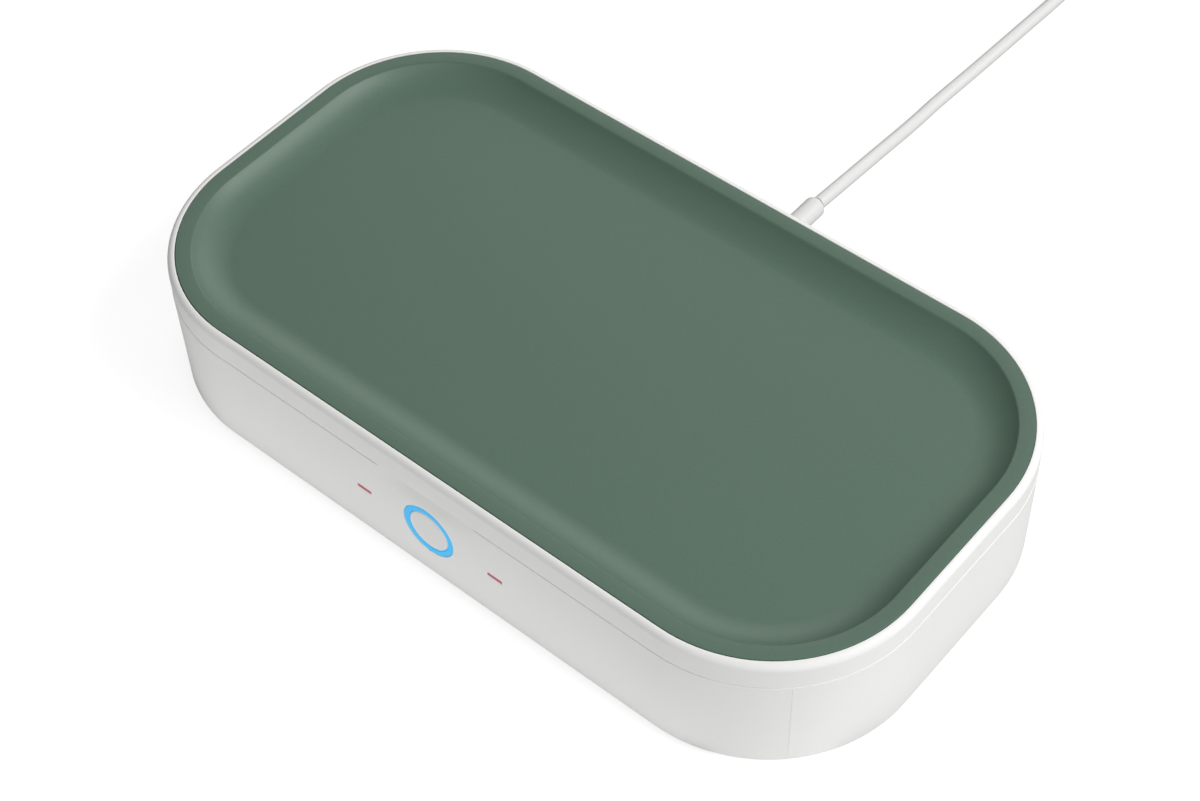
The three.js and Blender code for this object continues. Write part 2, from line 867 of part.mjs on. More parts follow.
function chamberLiner() {
  const outer = chamberInset - linerWall;
  const flangeEdge = baseWall + fitGap;
  let liner = plateOf([
    [outer + chamberRound, linerUnderside],
    [outer, linerUnderside + chamberRound],
    [outer, flangeBottom],
    [flangeEdge, flangeBottom],
    [flangeEdge, linerTop],
    ...arc(chamberInset - seamRound, linerTop - seamRound, seamRound, 90, 0, edgeSteps),
    ...arc(chamberInset + chamberRound, chamberFloor + chamberRound, chamberRound, 180, 270, edgeSteps),
  ]);
  for (const [x, y] of coverScrewPlaces) {
    const holeEnd = lowerLedgeBottom + linerBossHoleDepth;
    const boss = bar(linerBossRadius, lowerLedgeBottom, linerUnderside + joinOverlap, smallSides);
    const hole = bar(coverScrewShankRadius + fitGap, lowerLedgeBottom - cutOverrun, holeEnd, smallSides);
    liner = liner.add(boss.translate([x, y, 0])).subtract(hole.translate([x, y, 0]));
  }
  const ribBottom = chamberFloor - joinOverlap;
  for (const share of ribPlaceShares) {
    const ribX = share * boxLength;
    liner = liner.add(slab(ribX, 0, ribWidth, ribLength, ribBottom, chamberFloor + ribHeight));
  }
  for (const side of [-1, 1]) {
    const seat = chamberFloor - windowThickness - windowSeatGap;
    const hole = bar(windowRadius + fitGap, seat, chamberFloor + cutOverrun)
      .add(bar(lampHoleRadius, linerUnderside - cutOverrun, chamberFloor));
    liner = liner.subtract(hole.translate([side * lampX, 0, 0]));
    const cup = magnetCup(flangeBottom - magnetCupHeight, flangeBottom + slightOverlap);
    liner = liner.add(cup.translate([side * magnetX, frontY + magnetInset, 0]));
  }
  return liner;
}

// A short tube that holds a magnet
function magnetCup(bottom, top) {
  const inner = magnetRadius + fitGap;
  const outer = inner + magnetCupWall;
  return turned([[inner, bottom], [outer, bottom], [outer, top], [inner, top]], smallSides);
}

// A lamp board with its lamp standing on it; height is how far the lamp reaches
function lampBoard(height) {
  return slab(0, 0, lampBoardSize, lampBoardSize, 0, lampBoardThickness)
    .add(slab(0, 0, lampSize, lampSize, lampBoardThickness / 2, lampBoardThickness + height));
}

function mainBoard() {
  let board = slab(0, 0, mainBoardLength, mainBoardWidth, mainBoardBottom, mainBoardTop);
  const parts = [
    { placeShares: [-0.28, -0.1], sizeShares: [0.1, 0.22], height: chipHeight },
    { placeShares: [-0.06, 0.12], sizeShares: [0.16, 0.34], height: chipHeight },
    { placeShares: [0.16, -0.16], sizeShares: [0.12, 0.26], height: coilHeight },
    { placeShares: [0.32, 0.14], sizeShares: [0.07, 0.18], height: coilHeight },
    { placeShares: [0.03, -0.32], sizeShares: [0.22, 0.08], height: chipHeight },
  ];
  for (const { placeShares, sizeShares, height } of parts) {
    board = board.add(slab(
      placeShares[0] * mainBoardLength,
      placeShares[1] * mainBoardWidth,
      sizeShares[0] * mainBoardLength,
      sizeShares[1] * mainBoardWidth,
      mainBoardTop - joinOverlap,
      mainBoardTop + height,
    ));
  }
  return pegged(board, boardPostPlaces, mainBoardBottom, mainBoardTop);
}

function frontBoard() {
  const front = frontY + frontBoardDepth;
  const back = front + frontBoardThickness;
  const low = buttonZ - frontBoardHeight / 2;
  let board = block(
    [-frontBoardLength / 2, front, low],
    [frontBoardLength / 2, back, low + frontBoardHeight],
  );
  const lightRing = ringRadius - ringTubeWall / 2;
  const lights = [[lightRing, 0], [-lightRing, 0]].map(([x, z]) => [x, buttonZ + z]);
  lights.push([-markX, markZ], [markX, markZ]);
  const half = lightSize / 2;
  for (const [x, z] of lights) {
    board = board.add(block(
      [x - half, front - lightDepth, z - half],
      [x + half, back - slightOverlap, z + half],
    ));
  }
  for (const side of [-1, 1]) {
    const hole = barY(
      boardScrewHoleRadius,
      front - cutOverrun,
      back + cutOverrun,
      side * frontBossX,
      buttonZ,
      smallSides,
    );
    board = board.subtract(hole);
  }
  return board;
}

// Round pieces of the button are turned about Z and laid along Y, their fronts at zero
function layAlongY(solid) {
  return solid.rotate([-90, 0, 0]);
}

function ringLightGuide() {
  const tubeInner = ringRadius - ringTubeWall;
  const flangeFront = baseWall + fitGap;
  return layAlongY(turned([
    [ringRadius - ringBand, 0],
    [ringRadius, 0],
    [ringRadius, flangeFront],
    [ringFlangeRadius, flangeFront],
    [ringFlangeRadius, flangeFront + ringFlangeThickness],
    [ringRadius, flangeFront + ringFlangeThickness],
    [ringRadius, ringLength],
    [tubeInner, ringLength],
    [tubeInner, ringStep],
    [ringRadius - ringBand, ringStep],
  ], ringSides));
}

function buttonCap() {
  const radius = ringRadius - ringBand - lensGap;
  const flangeRadius = ringRadius - ringTubeWall - fitGap;
  const flangeFront = ringStep + fitGap;
  return layAlongY(turned([
    [0, 0],
    [radius - capEdgeRound, 0],
    [radius, capEdgeRound],
    [radius, flangeFront],
    [flangeRadius, flangeFront],
    [flangeRadius, flangeFront + capFlange],
    [capStemRadius, flangeFront + capFlange],
    [capStemRadius, flangeFront + capFlange + capStemLength],
    [0, flangeFront + capFlange + capStemLength],
  ], ringSides));
}

function switchPlunger() {
  return layAlongY(bar(plungerRadius, 0, plungerLength, smallSides));
}

function buttonSwitch() {
  const half = switchWidth / 2;
  const depth = plungerLength - plungerReach + buttonTravel + fitGap;
  return block([-half, 0, -half], [half, switchDepth, half])
    .subtract(barY(plungerRadius + fitGap, -cutOverrun, depth, 0, 0, smallSides));
}

// A red mark's lens, with a wider head behind the wall that reaches the light on the board
function indicatorLens() {
  const headFront = baseWall + fitGap;
  const headLength = markLength + 2 * markHeadMargin;
  const head = roundedSection(headLength, markHeight + 2 * markHeadMargin, markHeadMargin);
  return prismY(roundedSection(markLength, markHeight, lensGap), 0, headFront + joinOverlap, 0, 0)
    .add(prismY(head, headFront, ringLength, 0, 0));
}

function powerSocket() {
  const inside = stadium(socketWidth - 2 * socketWall, socketHeight - 2 * socketWall);
  const innerEnd = socketLength - socketBack;
  const tongue = block(
    [-tongueWidth / 2, -innerEnd - slightOverlap, -tongueHeight / 2],
    [tongueWidth / 2, tongueLength - innerEnd, tongueHeight / 2],
  );
  return prismY(stadium(socketWidth, socketHeight), -socketLength, 0, 0, 0)
    .subtract(prismY(inside, -innerEnd, cutOverrun, 0, 0))
    .add(tongue);
}

function portBoard() {
  const far = backY - portBoardSetback;
  const board = block(
    [portX - portBoardLength / 2, far - portBoardDepth, portBoardBottom],
    [portX + portBoardLength / 2, far, portBoardTop],
  );
  return pegged(board, portPostPlaces, portBoardBottom, portBoardTop);
}

function hingePin() {
  const length = outerKnuckleEnd - hingeInnerX - 2 * pinInset;
  return barX(pinRadius, -length / 2, length / 2, 0, 0);
}

function magnet() {
  return bar(magnetRadius, 0, magnetThickness, smallSides);
}

function lidSensor() {
  const chip = sensorWidth / 2;
  return slab(0, 0, sensorLength, sensorWidth, -sensorThickness, 0)
    .add(slab(0, 0, chip, chip, -2 * sensorThickness, -sensorThickness / 2));
}

function lidFrame() {
  const ledgeInner = lidWall + lidLedgeWidth;
  let frame = ringOf([
    ...arc(seamRound, lidBottom + seamRound, seamRound, 270, 180, edgeSteps),
    ...arc(rimRound, lidTop - rimRound, rimRound, 180, 90, 2 * edgeSteps),
    ...arc(lidWall - rimInnerRound, lidTop - rimInnerRound, rimInnerRound, 90, 0, edgeSteps),
    [lidWall, lidLedgeTop],
    [ledgeInner, lidLedgeTop],
    [ledgeInner, lidLedgeBottom],
    [lidWall, lidLedgeBottom],
    [lidWall, lidBottom],
  ]);
  for (const [x, y] of lidScrewPlaces) {
    const bottom = innerFlangeTop + fitGap;
    const boss = bar(lidBossRadius, bottom, lidLedgeBottom + lidBossOverlap, smallSides);
    const hole = bar(lidScrewShankRadius + fitGap, bottom - cutOverrun, lidLedgeBottom, smallSides);
    frame = frame.add(boss.translate([x, y, 0])).subtract(hole.translate([x, y, 0]));
  }
  const knuckles = lidKnuckle(lidKnuckleStart, lidKnuckleEnd).subtract(pinBore());
  frame = frame.add(bothSides(knuckles));
  const leadKnuckleEnd = leadKnuckleGap / 2 + leadKnuckleLength;
  frame = frame.add(lidKnuckle(leadKnuckleGap / 2, leadKnuckleEnd));
  return frame.subtract(leadBore(lidLeadCorners().slice(0, 5)));
}

const lidScrewPlaces = [[-1, -1], [1, -1], [-1, 1], [1, 1]].map(
  ([signX, signY]) => cornerPoint(signX, signY, lidScrewInset));

// The dish is an arc that leaves the rim at a slope and runs out flat on the floor
function chargingTray() {
  const slope = 2 * Math.atan(trayDepth / trayDishWidth);
  const dishRadius = trayDishWidth / Math.sin(slope);
  const slopeDegrees = THREE.MathUtils.radToDeg(slope);
  const edge = lidWall + trayGap;
  const floorInset = edge + trayBand + trayDishWidth;
  const centre = trayFloorTop + dishRadius;
  const rimBottom = trayTop - trayRimThickness;
  const outerRadius = dishRadius + trayFloor;
  const outerDegrees = THREE.MathUtils.radToDeg(Math.acos((centre - rimBottom) / outerRadius));
  return plateOf([
    ...arc(floorInset, centre, outerRadius, 270, 270 - outerDegrees, dishSteps),
    [edge, rimBottom],
    ...arc(edge + rimInnerRound, trayTop - rimInnerRound, rimInnerRound, 180, 90, edgeSteps),
    ...arc(floorInset, centre, dishRadius, 270 - slopeDegrees, 270, dishSteps),
  ]);
}

function lidInnerCover() {
  const edge = lidWall + fitGap;
  const inner = innerCoverInset + innerCoverWall;
  const roundInset = innerCoverInset + innerCoverRound;
  let cover = plateOf([
    ...arc(roundInset, ceilingBottom + innerCoverRound, innerCoverRound, 270, 180, edgeSteps),
    [innerCoverInset, innerFlangeBottom],
    [edge, innerFlangeBottom],
    [edge, innerFlangeTop],
    [inner, innerFlangeTop],
    [inner, ceilingTop],
  ]);
  const seatTop = innerFlangeBottom + screwSeatDepth;
  const through = innerFlangeTop + cutOverrun;
  for (const [x, y] of lidScrewPlaces) {
    const seat = bar(lidScrewHeadRadius + fitGap, innerFlangeBottom - cutOverrun, seatTop, smallSides)
      .add(bar(lidScrewShankRadius + fitGap, innerFlangeBottom, through, smallSides));
    cover = cover.subtract(seat.translate([x, y, 0]));
  }
  for (const side of [-1, 1]) {
    const seat = ceilingBottom + windowThickness + windowSeatGap;
    const hole = bar(windowRadius + fitGap, ceilingBottom - cutOverrun, seat)
      .add(bar(lampHoleRadius, ceilingBottom, ceilingTop + cutOverrun));
    cover = cover.subtract(hole.translate([side * lampX, 0, 0]));
    const cup = magnetCup(innerFlangeTop - slightOverlap, innerFlangeTop + magnetCupHeight);
    cover = cover.add(cup.translate([side * magnetX, frontY + magnetInset, 0]));
  }
  const groove = ringOf([
    [sealInset - fitGap, innerFlangeBottom - cutOverrun],
    [sealInset - fitGap, innerFlangeBottom + sealThickness],
    [sealInset + sealWidth + fitGap, innerFlangeBottom + sealThickness],
    [sealInset + sealWidth + fitGap, innerFlangeBottom - cutOverrun],
  ]);
  return cover.subtract(groove);
}

function lightSeal() {
  const bottom = innerFlangeBottom - sealProud;
  return ringOf([
    [sealInset, bottom],
    [sealInset, bottom + sealThickness],
    [sealInset + sealWidth, bottom + sealThickness],
    [sealInset + sealWidth, bottom],
  ]);
}

function chargingCoil() {
  const top = trayUnderside - fitGap;
  return turned([
    [coilInnerRadius, top - coilThickness],
    [coilOuterRadius, top - coilThickness],
    [coilOuterRadius, top],
    [coilInnerRadius, top],
  ], roundSides);
}

function ferriteSheet() {
  const top = trayUnderside - 2 * fitGap - coilThickness;
  return bar(ferriteRadius, top - ferriteThickness, top);
}

function chargingBoard() {
  const bottom = ceilingTop + fitGap;
  const top = bottom + chargeBoardThickness;
  let board = slab(chargeBoardX, 0, chargeBoardLength, chargeBoardWidth, bottom, top);
  for (const share of chargePartPlaceShares) {
    board = board.add(slab(
      chargeBoardX,
      share * chargeBoardWidth,
      chargePartSize,
      chargePartSize,
      top - slightOverlap,
      top + chargePartHeight,
    ));
  }
  return board;
}

// The moulded end of the cord, with the sleeve that guides the cord out of it
function powerPlug() {
  const body = prismY(roundedSection(plugWidth, plugHeight, plugRound), 0, plugLength, 0, 0);
  const end = plugLength + sleeveLength;
  const sleeve = layAlongY(turned([
    [0, plugLength - joinOverlap],
    [sleeveRadius, plugLength - joinOverlap],
    [sleeveRadius, end - sleeveChamfer],
    [sleeveRadius - sleeveChamfer, end],
    [0, end],
  ], smallSides));
  return body.add(sleeve);
}

// A metal shell, open at the end that goes into a socket
function plugShell() {
  const inner = stadium(plugShellWidth - 2 * plugShellWall, plugShellHeight - 2 * plugShellWall);
  return prismY(stadium(plugShellWidth, plugShellHeight), -plugShellLength, 0, 0, 0)
    .subtract(prismY(inner, -plugShellLength - cutOverrun, -plugShellWall, 0, 0));
}

function usbSection(width, height) {
  return roundedSection(width, height, usbShellWall / 2);
}

// The plug at the far end lies on the floor, its shell pointing away from the cord
function usbPlug() {
  const tongueTop = usbShellHeight / 2 - usbShellWall - fitGap;
  const tongueEnd = usbShellWall + fitGap + usbTongueLength;
  const grip = prismY(roundedSection(usbWidth, usbHeight, usbRound), 0, usbLength, 0, 0);
  const tongue = block(
    [-usbTongueWidth / 2, -tongueEnd, tongueTop - usbTongueHeight],
    [usbTongueWidth / 2, joinOverlap, tongueTop],
  );
  return grip.add(tongue);
}

// The metal shell of that plug is a sleeve, because the tongue passes through it
function usbShell() {
  const inner = usbSection(usbShellWidth - 2 * usbShellWall, usbShellHeight - 2 * usbShellWall);
  const end = -fitGap - usbShellLength;
  return prismY(usbSection(usbShellWidth, usbShellHeight), end, -fitGap, 0, 0)
    .subtract(prismY(inner, end - cutOverrun, cutOverrun, 0, 0));
}

const plugStart = backY + fitGap;
const plugEnd = plugStart + plugLength + sleeveLength;
const layerLift = tieThickness + tieGap;
const lowerLayer = cordRadius + layerLift;
const usbCentre = usbHeight / 2;

// The coil winds in on its lower layer, climbs in the half turn where it reverses, and winds out
function coilPoints() {
  const [centreX, centreY] = coilCentre;
  const turns = 2 * coilTurnsInLayer;
  const steps = Math.round(turns * coilTurnSteps);
  const points = [vector(centreX + coilRadius, centreY - coilLead, lowerLayer)];
  for (let step = 0; step <= steps; step++) {
    const turn = turns * step / steps;
    const fromReverse = Math.abs(turn - coilTurnsInLayer);
    const radius = coilRadius - coilPitch * (coilTurnsInLayer - fromReverse);
    const climb = THREE.MathUtils.smoothstep(turn, coilTurnsInLayer - 1 / 4, coilTurnsInLayer + 1 / 4);
    const angle = 2 * Math.PI * turn;
    points.push(vector(
      centreX + radius * Math.cos(angle),
      centreY + radius * Math.sin(angle),
      lowerLayer + coilPitch * climb,
    ));
  }
  const end = points.at(-1);
  for (let step = 1; step <= coilTailSteps; step++) {
    const share = step / coilTailSteps;
    const sinking = THREE.MathUtils.smoothstep(share, coilLevelShare, 1);
    points.push(vector(
      end.x - coilTail * share,
      end.y,
      THREE.MathUtils.lerp(end.z, usbCentre, sinking),
    ));
  }
  points.push(vector(end.x - coilTail - coilLead, end.y, usbCentre));
  return points;
}

function lengthOf(points) {
  return points.slice(1).reduce((total, point, i) => total + point.distanceTo(points[i]), 0);
}

// The least gap of the coil to itself, between points at least half a turn apart along it
function leastGap(points, diameter) {
  let least = Infinity;
  for (let i = 0; i < points.length; i++) {
    for (let j = i + coilTurnSteps / 2; j < points.length; j++) {
      least = Math.min(least, points[i].distanceTo(points[j]) - diameter);
    }
  }
  return least;
}

// A strap round all the turns on the coil's -X side, as wide as the turns lie there
function cordTie(points) {
  const [centreX, centreY] = coilCentre;
  const inStrap = points.filter((point) => point.x < centreX && Math.abs(point.y - centreY) < tieWidth);
  const reach = cordRadius + tieGap;
  const low = [Math.min(...inStrap.map((point) => point.x)) - reach, tieThickness];
  const high = [
    Math.max(...inStrap.map((point) => point.x)) + reach,
    Math.max(...inStrap.map((point) => point.z)) + reach,
  ];
  const side = tieWidth / 2;
  const outer = block(
    [low[0] - tieThickness, centreY - side, low[1] - tieThickness],
    [high[0] + tieThickness, centreY + side, high[1] + tieThickness],
  );
  return outer.subtract(block(
    [low[0], centreY - side - cutOverrun, low[1]],
    [high[0], centreY + side + cutOverrun, high[1]],
  ));
}

function powerCord() {
  const start = vector(portX, plugEnd + fitGap, portZ);
  const end = vector(coilCentre[0] + coilRadius, coilCentre[1] - coilLead - fitGap, lowerLayer);
  const points = [start, ...cordRoute.map(([x, y, z]) => vector(x, y, z)), end];
  const curve = new THREE.CatmullRomCurve3(points, false, "centripetal");
  const corners = [];
  for (let k = 0; k < cordSides; k++) {
    const angle = 2 * Math.PI * k / cordSides;
    corners.push(new THREE.Vector2(cordRadius * Math.cos(angle), cordRadius * Math.sin(angle)));
  }
  const options = { steps: cordSteps, bevelEnabled: false, extrudePath: curve };
  const geometry = new THREE.ExtrudeGeometry(new THREE.Shape(corners), options);
  return { solid: toSolid(geometry), length: curve.getLength() };
}

function addPiece(group, name, solid, surface, place = [0, 0, 0]) {
  const mesh = new THREE.Mesh(toGeometry(solid), surface);
  mesh.name = name;
  mesh.position.set(...place);
  group.add(mesh);
  return mesh;
}

const base = new THREE.Group();
addPiece(base, "base_shell", baseShell(), whitePlastic);
addPiece(base, "bottom_cover", bottomCover(), coverPlastic);
addPiece(base, "chamber_liner", chamberLiner(), linerPlastic);
addPiece(base, "main_board", mainBoard(), circuitBoard);
addPiece(base, "front_board", frontBoard(), circuitBoard);
addPiece(base, "port_board", portBoard(), circuitBoard);
addPiece(base, "button_switch", buttonSwitch(), switchPlastic, [0, frontY + switchFront, buttonZ]);
addPiece(base, "ring_light_guide", ringLightGuide(), blueLight, [0, frontY, buttonZ]);
addPiece(base, "power_socket", powerSocket(), steel, [portX, backY - socketRecess, portZ]);
const baseLead = tube(rounded(baseLeadCorners(), leadBend), leadRadius, leadSides);
addPiece(base, "base_harness", baseLead, leadJacket);
const sensorPlace = [magnetX - sensorSetoff, frontY + magnetInset, flangeBottom - fitGap];
addPiece(base, "lid_sensor", lidSensor(), circuitBoard, sensorPlace);

const cornerNames = ["front_left", "front_right", "back_left", "back_right"];
const coverScrew = crossed(
  screw(coverScrewHeadRadius, coverScrewHeadHeight, coverScrewShankRadius, coverScrewShankLength),
  coverScrewHeadRadius,
);
cornerNames.forEach((corner, i) => {
  addPiece(base, `foot_${corner}`, foot(), footRubber, [...footPlaces[i], 0]);
  addPiece(base, `cover_screw_${corner}`, coverScrew, steel, [...coverScrewPlaces[i], coverBottom]);
});

const sides = [["left", -1], ["right", 1]];
const windowDisc = bar(windowRadius, 0, windowThickness);
const baseLamp = linerFloor - windowThickness - windowSeatGap;
const boardScrew = screw(
  boardScrewHeadRadius,
  boardScrewHeadHeight,
  boardScrewShankRadius,
  boardScrewShankLength,
);
const baseBoardZ = linerUnderside - fitGap - lampBoardThickness;
const baseMagnetZ = flangeBottom - fitGap - magnetThickness;
const frontScrewY = frontY + frontBoardDepth + frontBoardThickness + fitGap + boardScrewHeadHeight;
for (const [name, side] of sides) {
  const windowPlace = [side * lampX, 0, chamberFloor - windowThickness];
  const boardPlace = [side * lampX, 0, baseBoardZ];
  const magnetPlace = [side * magnetX, frontY + magnetInset, baseMagnetZ];
  const pinPlace = [side * (hingeInnerX + outerKnuckleEnd) / 2, hingeY, hingeZ];
  const markPlace = [side * markX, frontY, markZ];
  const screwPlace = [side * frontBossX, frontScrewY, buttonZ];
  addPiece(base, `base_uv_window_${name}`, windowDisc, windowGlass, windowPlace);
  addPiece(base, `base_uv_board_${name}`, lampBoard(baseLamp), circuitBoard, boardPlace);
  addPiece(base, `base_magnet_${name}`, magnet(), magnetMetal, magnetPlace);
  addPiece(base, `hinge_pin_${name}`, hingePin(), steel, pinPlace);
  addPiece(base, `indicator_lens_${name}`, indicatorLens(), redLight, markPlace);
  const frontScrew = addPiece(base, `front_board_screw_${name}`, boardScrew, steel, screwPlace);
  frontScrew.rotation.x = Math.PI / 2;
}

const button = new THREE.Group();
addPiece(button, "button_cap", buttonCap(), capPlastic, [0, frontY, buttonZ]);
addPiece(button, "switch_plunger", switchPlunger(), switchPlastic, [0, frontY + plungerFront, buttonZ]);

const lid = new THREE.Group();
addPiece(lid, "lid_frame", lidFrame(), whitePlastic);
addPiece(lid, "charging_tray", chargingTray(), greenPlastic);
addPiece(lid, "lid_inner_cover", lidInnerCover(), linerPlastic);
addPiece(lid, "light_seal", lightSeal(), sealRubber);
addPiece(lid, "charging_coil", chargingCoil(), copper);
addPiece(lid, "ferrite_sheet", ferriteSheet(), ferrite);
addPiece(lid, "charging_board", chargingBoard(), circuitBoard);
const lidLead = tube(rounded(lidLeadCorners(), leadBend), leadRadius, leadSides);
addPiece(lid, "lid_harness", lidLead, leadJacket);
const lidScrew = crossed(
  screw(lidScrewHeadRadius, lidScrewHeadHeight, lidScrewShankRadius, lidScrewShankLength),
  lidScrewHeadRadius,
);
const lidScrewZ = innerFlangeBottom - lidScrewHeadProud;
cornerNames.forEach((corner, i) => {
  addPiece(lid, `lid_screw_${corner}`, lidScrew, steel, [...lidScrewPlaces[i], lidScrewZ]);
});
const lidLamp = innerCoverFloor - windowThickness - windowSeatGap;
const lidBoardZ = ceilingTop + fitGap + lampBoardThickness;
for (const [name, side] of sides) {
  const windowPlace = [side * lampX, 0, ceilingBottom];
  const boardPlace = [side * lampX, 0, lidBoardZ];
  const magnetPlace = [side * magnetX, frontY + magnetInset, innerFlangeTop + fitGap];
  addPiece(lid, `lid_uv_window_${name}`, windowDisc, windowGlass, windowPlace);
  const lidBoard = addPiece(lid, `lid_uv_board_${name}`, lampBoard(lidLamp), circuitBoard, boardPlace);
  lidBoard.rotation.x = Math.PI;
  addPiece(lid, `lid_magnet_${name}`, magnet(), magnetMetal, magnetPlace);
}

const cord = new THREE.Group();
const coil = coilPoints();
const lead = powerCord();
addPiece(cord, "power_plug", powerPlug(), cordJacket, [portX, plugStart, portZ]);
addPiece(cord, "power_plug_shell", plugShell(), steel, [portX, plugStart - fitGap, portZ]);
addPiece(cord, "power_cord", lead.solid, cordJacket);
addPiece(cord, "cord_coil", tube(coil, cordRadius, coilSides), cordJacket);
addPiece(cord, "cord_tie", cordTie(coil), tieFabric);
const farPlug = new THREE.Group();
addPiece(farPlug, "usb_plug", usbPlug(), cordJacket);
addPiece(farPlug, "usb_plug_shell", usbShell(), steel);
farPlug.rotation.z = -Math.PI / 2;
farPlug.position.set(coil.at(-1).x - fitGap - usbLength, coil.at(-1).y, usbCentre);
cord.add(farPlug);
console.log("coil's least gap to itself", leastGap(coil, 2 * cordRadius).toFixed(2), "mm");
console.log("cord's length", (lead.length + lengthOf(coil)).toFixed(0), "mm");

const box = new THREE.Group();
box.add(base, button, lid, cord);
box.position.y = -hingeOverhang / 2;

export default box;
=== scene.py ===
"""The looks of a uv sanitizer box: smooth shells, materials, light and camera round its CAD parts.

Lengths are in millimetres, apart from the light and the floor, which are in metres. Most repeat the CAD
source's; the scoop, the seam, the rim and the small edges are finer here. A place is given in the shell's
own frame, whose Y starts at the middle of the shell, and place() turns it into the row frame, in metres.
"""

import math

import bmesh
import bpy
from mathutils import Matrix, Vector


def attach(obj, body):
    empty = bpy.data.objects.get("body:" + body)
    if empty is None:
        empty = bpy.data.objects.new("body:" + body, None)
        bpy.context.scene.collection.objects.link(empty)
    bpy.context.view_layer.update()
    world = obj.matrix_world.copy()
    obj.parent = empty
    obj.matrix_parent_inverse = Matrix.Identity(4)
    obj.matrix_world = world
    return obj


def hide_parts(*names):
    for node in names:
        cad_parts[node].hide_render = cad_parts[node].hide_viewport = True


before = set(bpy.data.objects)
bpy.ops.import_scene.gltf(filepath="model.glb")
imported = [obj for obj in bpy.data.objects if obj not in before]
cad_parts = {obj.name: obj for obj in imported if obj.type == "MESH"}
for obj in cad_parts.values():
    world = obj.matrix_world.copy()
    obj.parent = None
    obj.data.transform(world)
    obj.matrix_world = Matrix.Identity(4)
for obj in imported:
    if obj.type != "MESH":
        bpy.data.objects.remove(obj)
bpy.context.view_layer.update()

MM = 0.001

# Overall sizes and levels
BOX_LENGTH = 232
BOX_WIDTH = 127.3
CORNER_RADIUS = 43.5
FRONT_Y = -BOX_WIDTH / 2
BACK_Y = BOX_WIDTH / 2
BASE_BOTTOM = 1.2
BASE_TOP = 33.3
LID_BOTTOM = 33.7
LID_TOP = 41.6
FIT_GAP = 0.3
LENS_GAP = 0.2
CUT_OVERRUN = 1
JOIN_OVERLAP = 0.5

# Base shell
BASE_WALL = 2.4
BASE_EDGE_ROUND = 1
SEAM_ROUND = 0.13
BASE_LEDGE_INNER = 3.9
LEDGE_TOP = 31.1
LEDGE_THICKNESS = 2
LOWER_LEDGE_BOTTOM = 4
LOWER_LEDGE_THICKNESS = 1.5
SCOOP_WIDTH = 33
SCOOP_HEIGHT = 7
SCOOP_DEPTH = 2.1
SCOOP_END_POWER = 1.2
SCOOP_ROLL_POWER = 1.9
SCOOP_FADE = 0.1
SCOOP_FINE_HALF = 20
SCOOP_FINE_MARGIN = 1
SCOOP_STEP = 0.5
HAIRLINE_WIDTH = 0.13
HAIRLINE_DEPTH = 0.1

# Bottom cover and feet
COVER_BOTTOM = 1.5
COVER_TOP = 3.7
COVER_ROUND = 0.4
FOOT_RADIUS = 6
FOOT_HEIGHT = 2.1
FOOT_SEAT = 0.9
FOOT_SPAN = (160, 95)
COVER_SCREW_SPAN = (184, 60)

# The foot's lower edge, as pairs of how far it is drawn in and how high up that is
FOOT_EDGE = ((1.6, 0), (0.7, 0.08), (0.2, 0.35), (0, 0.8))

# Screws: head radius, head height, shank radius and shank length; the head's outline is in shares of both
COVER_SCREW = (2.6, 1, 1.25, 6)
LID_SCREW = (1.7, 0.6, 0.75, 3.6)
SCREW_HEAD_SHARES = ((0.55, 0), (0.85, 0.12), (1, 0.5), (1, 1))
SCREW_TIP = 0.3
SCREW_TIP_SHARE = 0.6
CROSS_LENGTH_SHARE = 0.6
CROSS_HALF_WIDTH = 0.35
CROSS_DEPTH = 0.5

# Chamber liner
LINER_TOP = 32.9
LINER_FLANGE_BOTTOM = 31.4
CHAMBER_INSET = 14
LINER_WALL = 1.5
CHAMBER_FLOOR = 13.7
LINER_UNDERSIDE = 11.7
CHAMBER_ROUND = 1.5
RIB_HEIGHT = 2
RIB_WIDTH = 1.6
RIB_LENGTH = 66
RIB_EDGE = 0.5
RIB_EDGE_STEPS = 4
RIB_PLACE_SHARES = (-0.4, -0.2, -0.07, 0.07, 0.2, 0.4)

# Ultraviolet windows
LAMP_SPACING = 124
WINDOW_RADIUS = 7
WINDOW_THICKNESS = 0.9
WINDOW_EDGE = 0.15
WINDOW_SEAT_GAP = 0.3
LAMP_HOLE_RADIUS = 5.5

# Button, ring and marks
BUTTON_Z = 19.1
RING_RADIUS = 8.2
RING_BAND = 1.6
RING_FLANGE_RADIUS = 9.3
RING_FLANGE_THICKNESS = 1.2
RING_TUBE_WALL = 0.9
RING_STEP = 2
RING_LENGTH = 8.2
RING_EDGE = 0.12
CAP_EDGE = ((0.6, 0), (0.3, 0.04), (0.12, 0.12), (0.04, 0.3), (0, 0.6))
CAP_FLANGE = 1
CAP_STEM_RADIUS = 1.8
CAP_STEM_LENGTH = 1.6
MARK_SPACING = 44.2
MARK_Z = 18.5
MARK_LENGTH = 4.5
MARK_HEIGHT = 0.9
MARK_EDGE = 0.08
MARK_HEAD_MARGIN = 0.6
BOSS_SPACING = 55
BOSS_RADIUS = 2
BOSS_END = 9
BOSS_HOLE_RADIUS = 1.05
BOSS_HOLE_DEPTH = 4.5

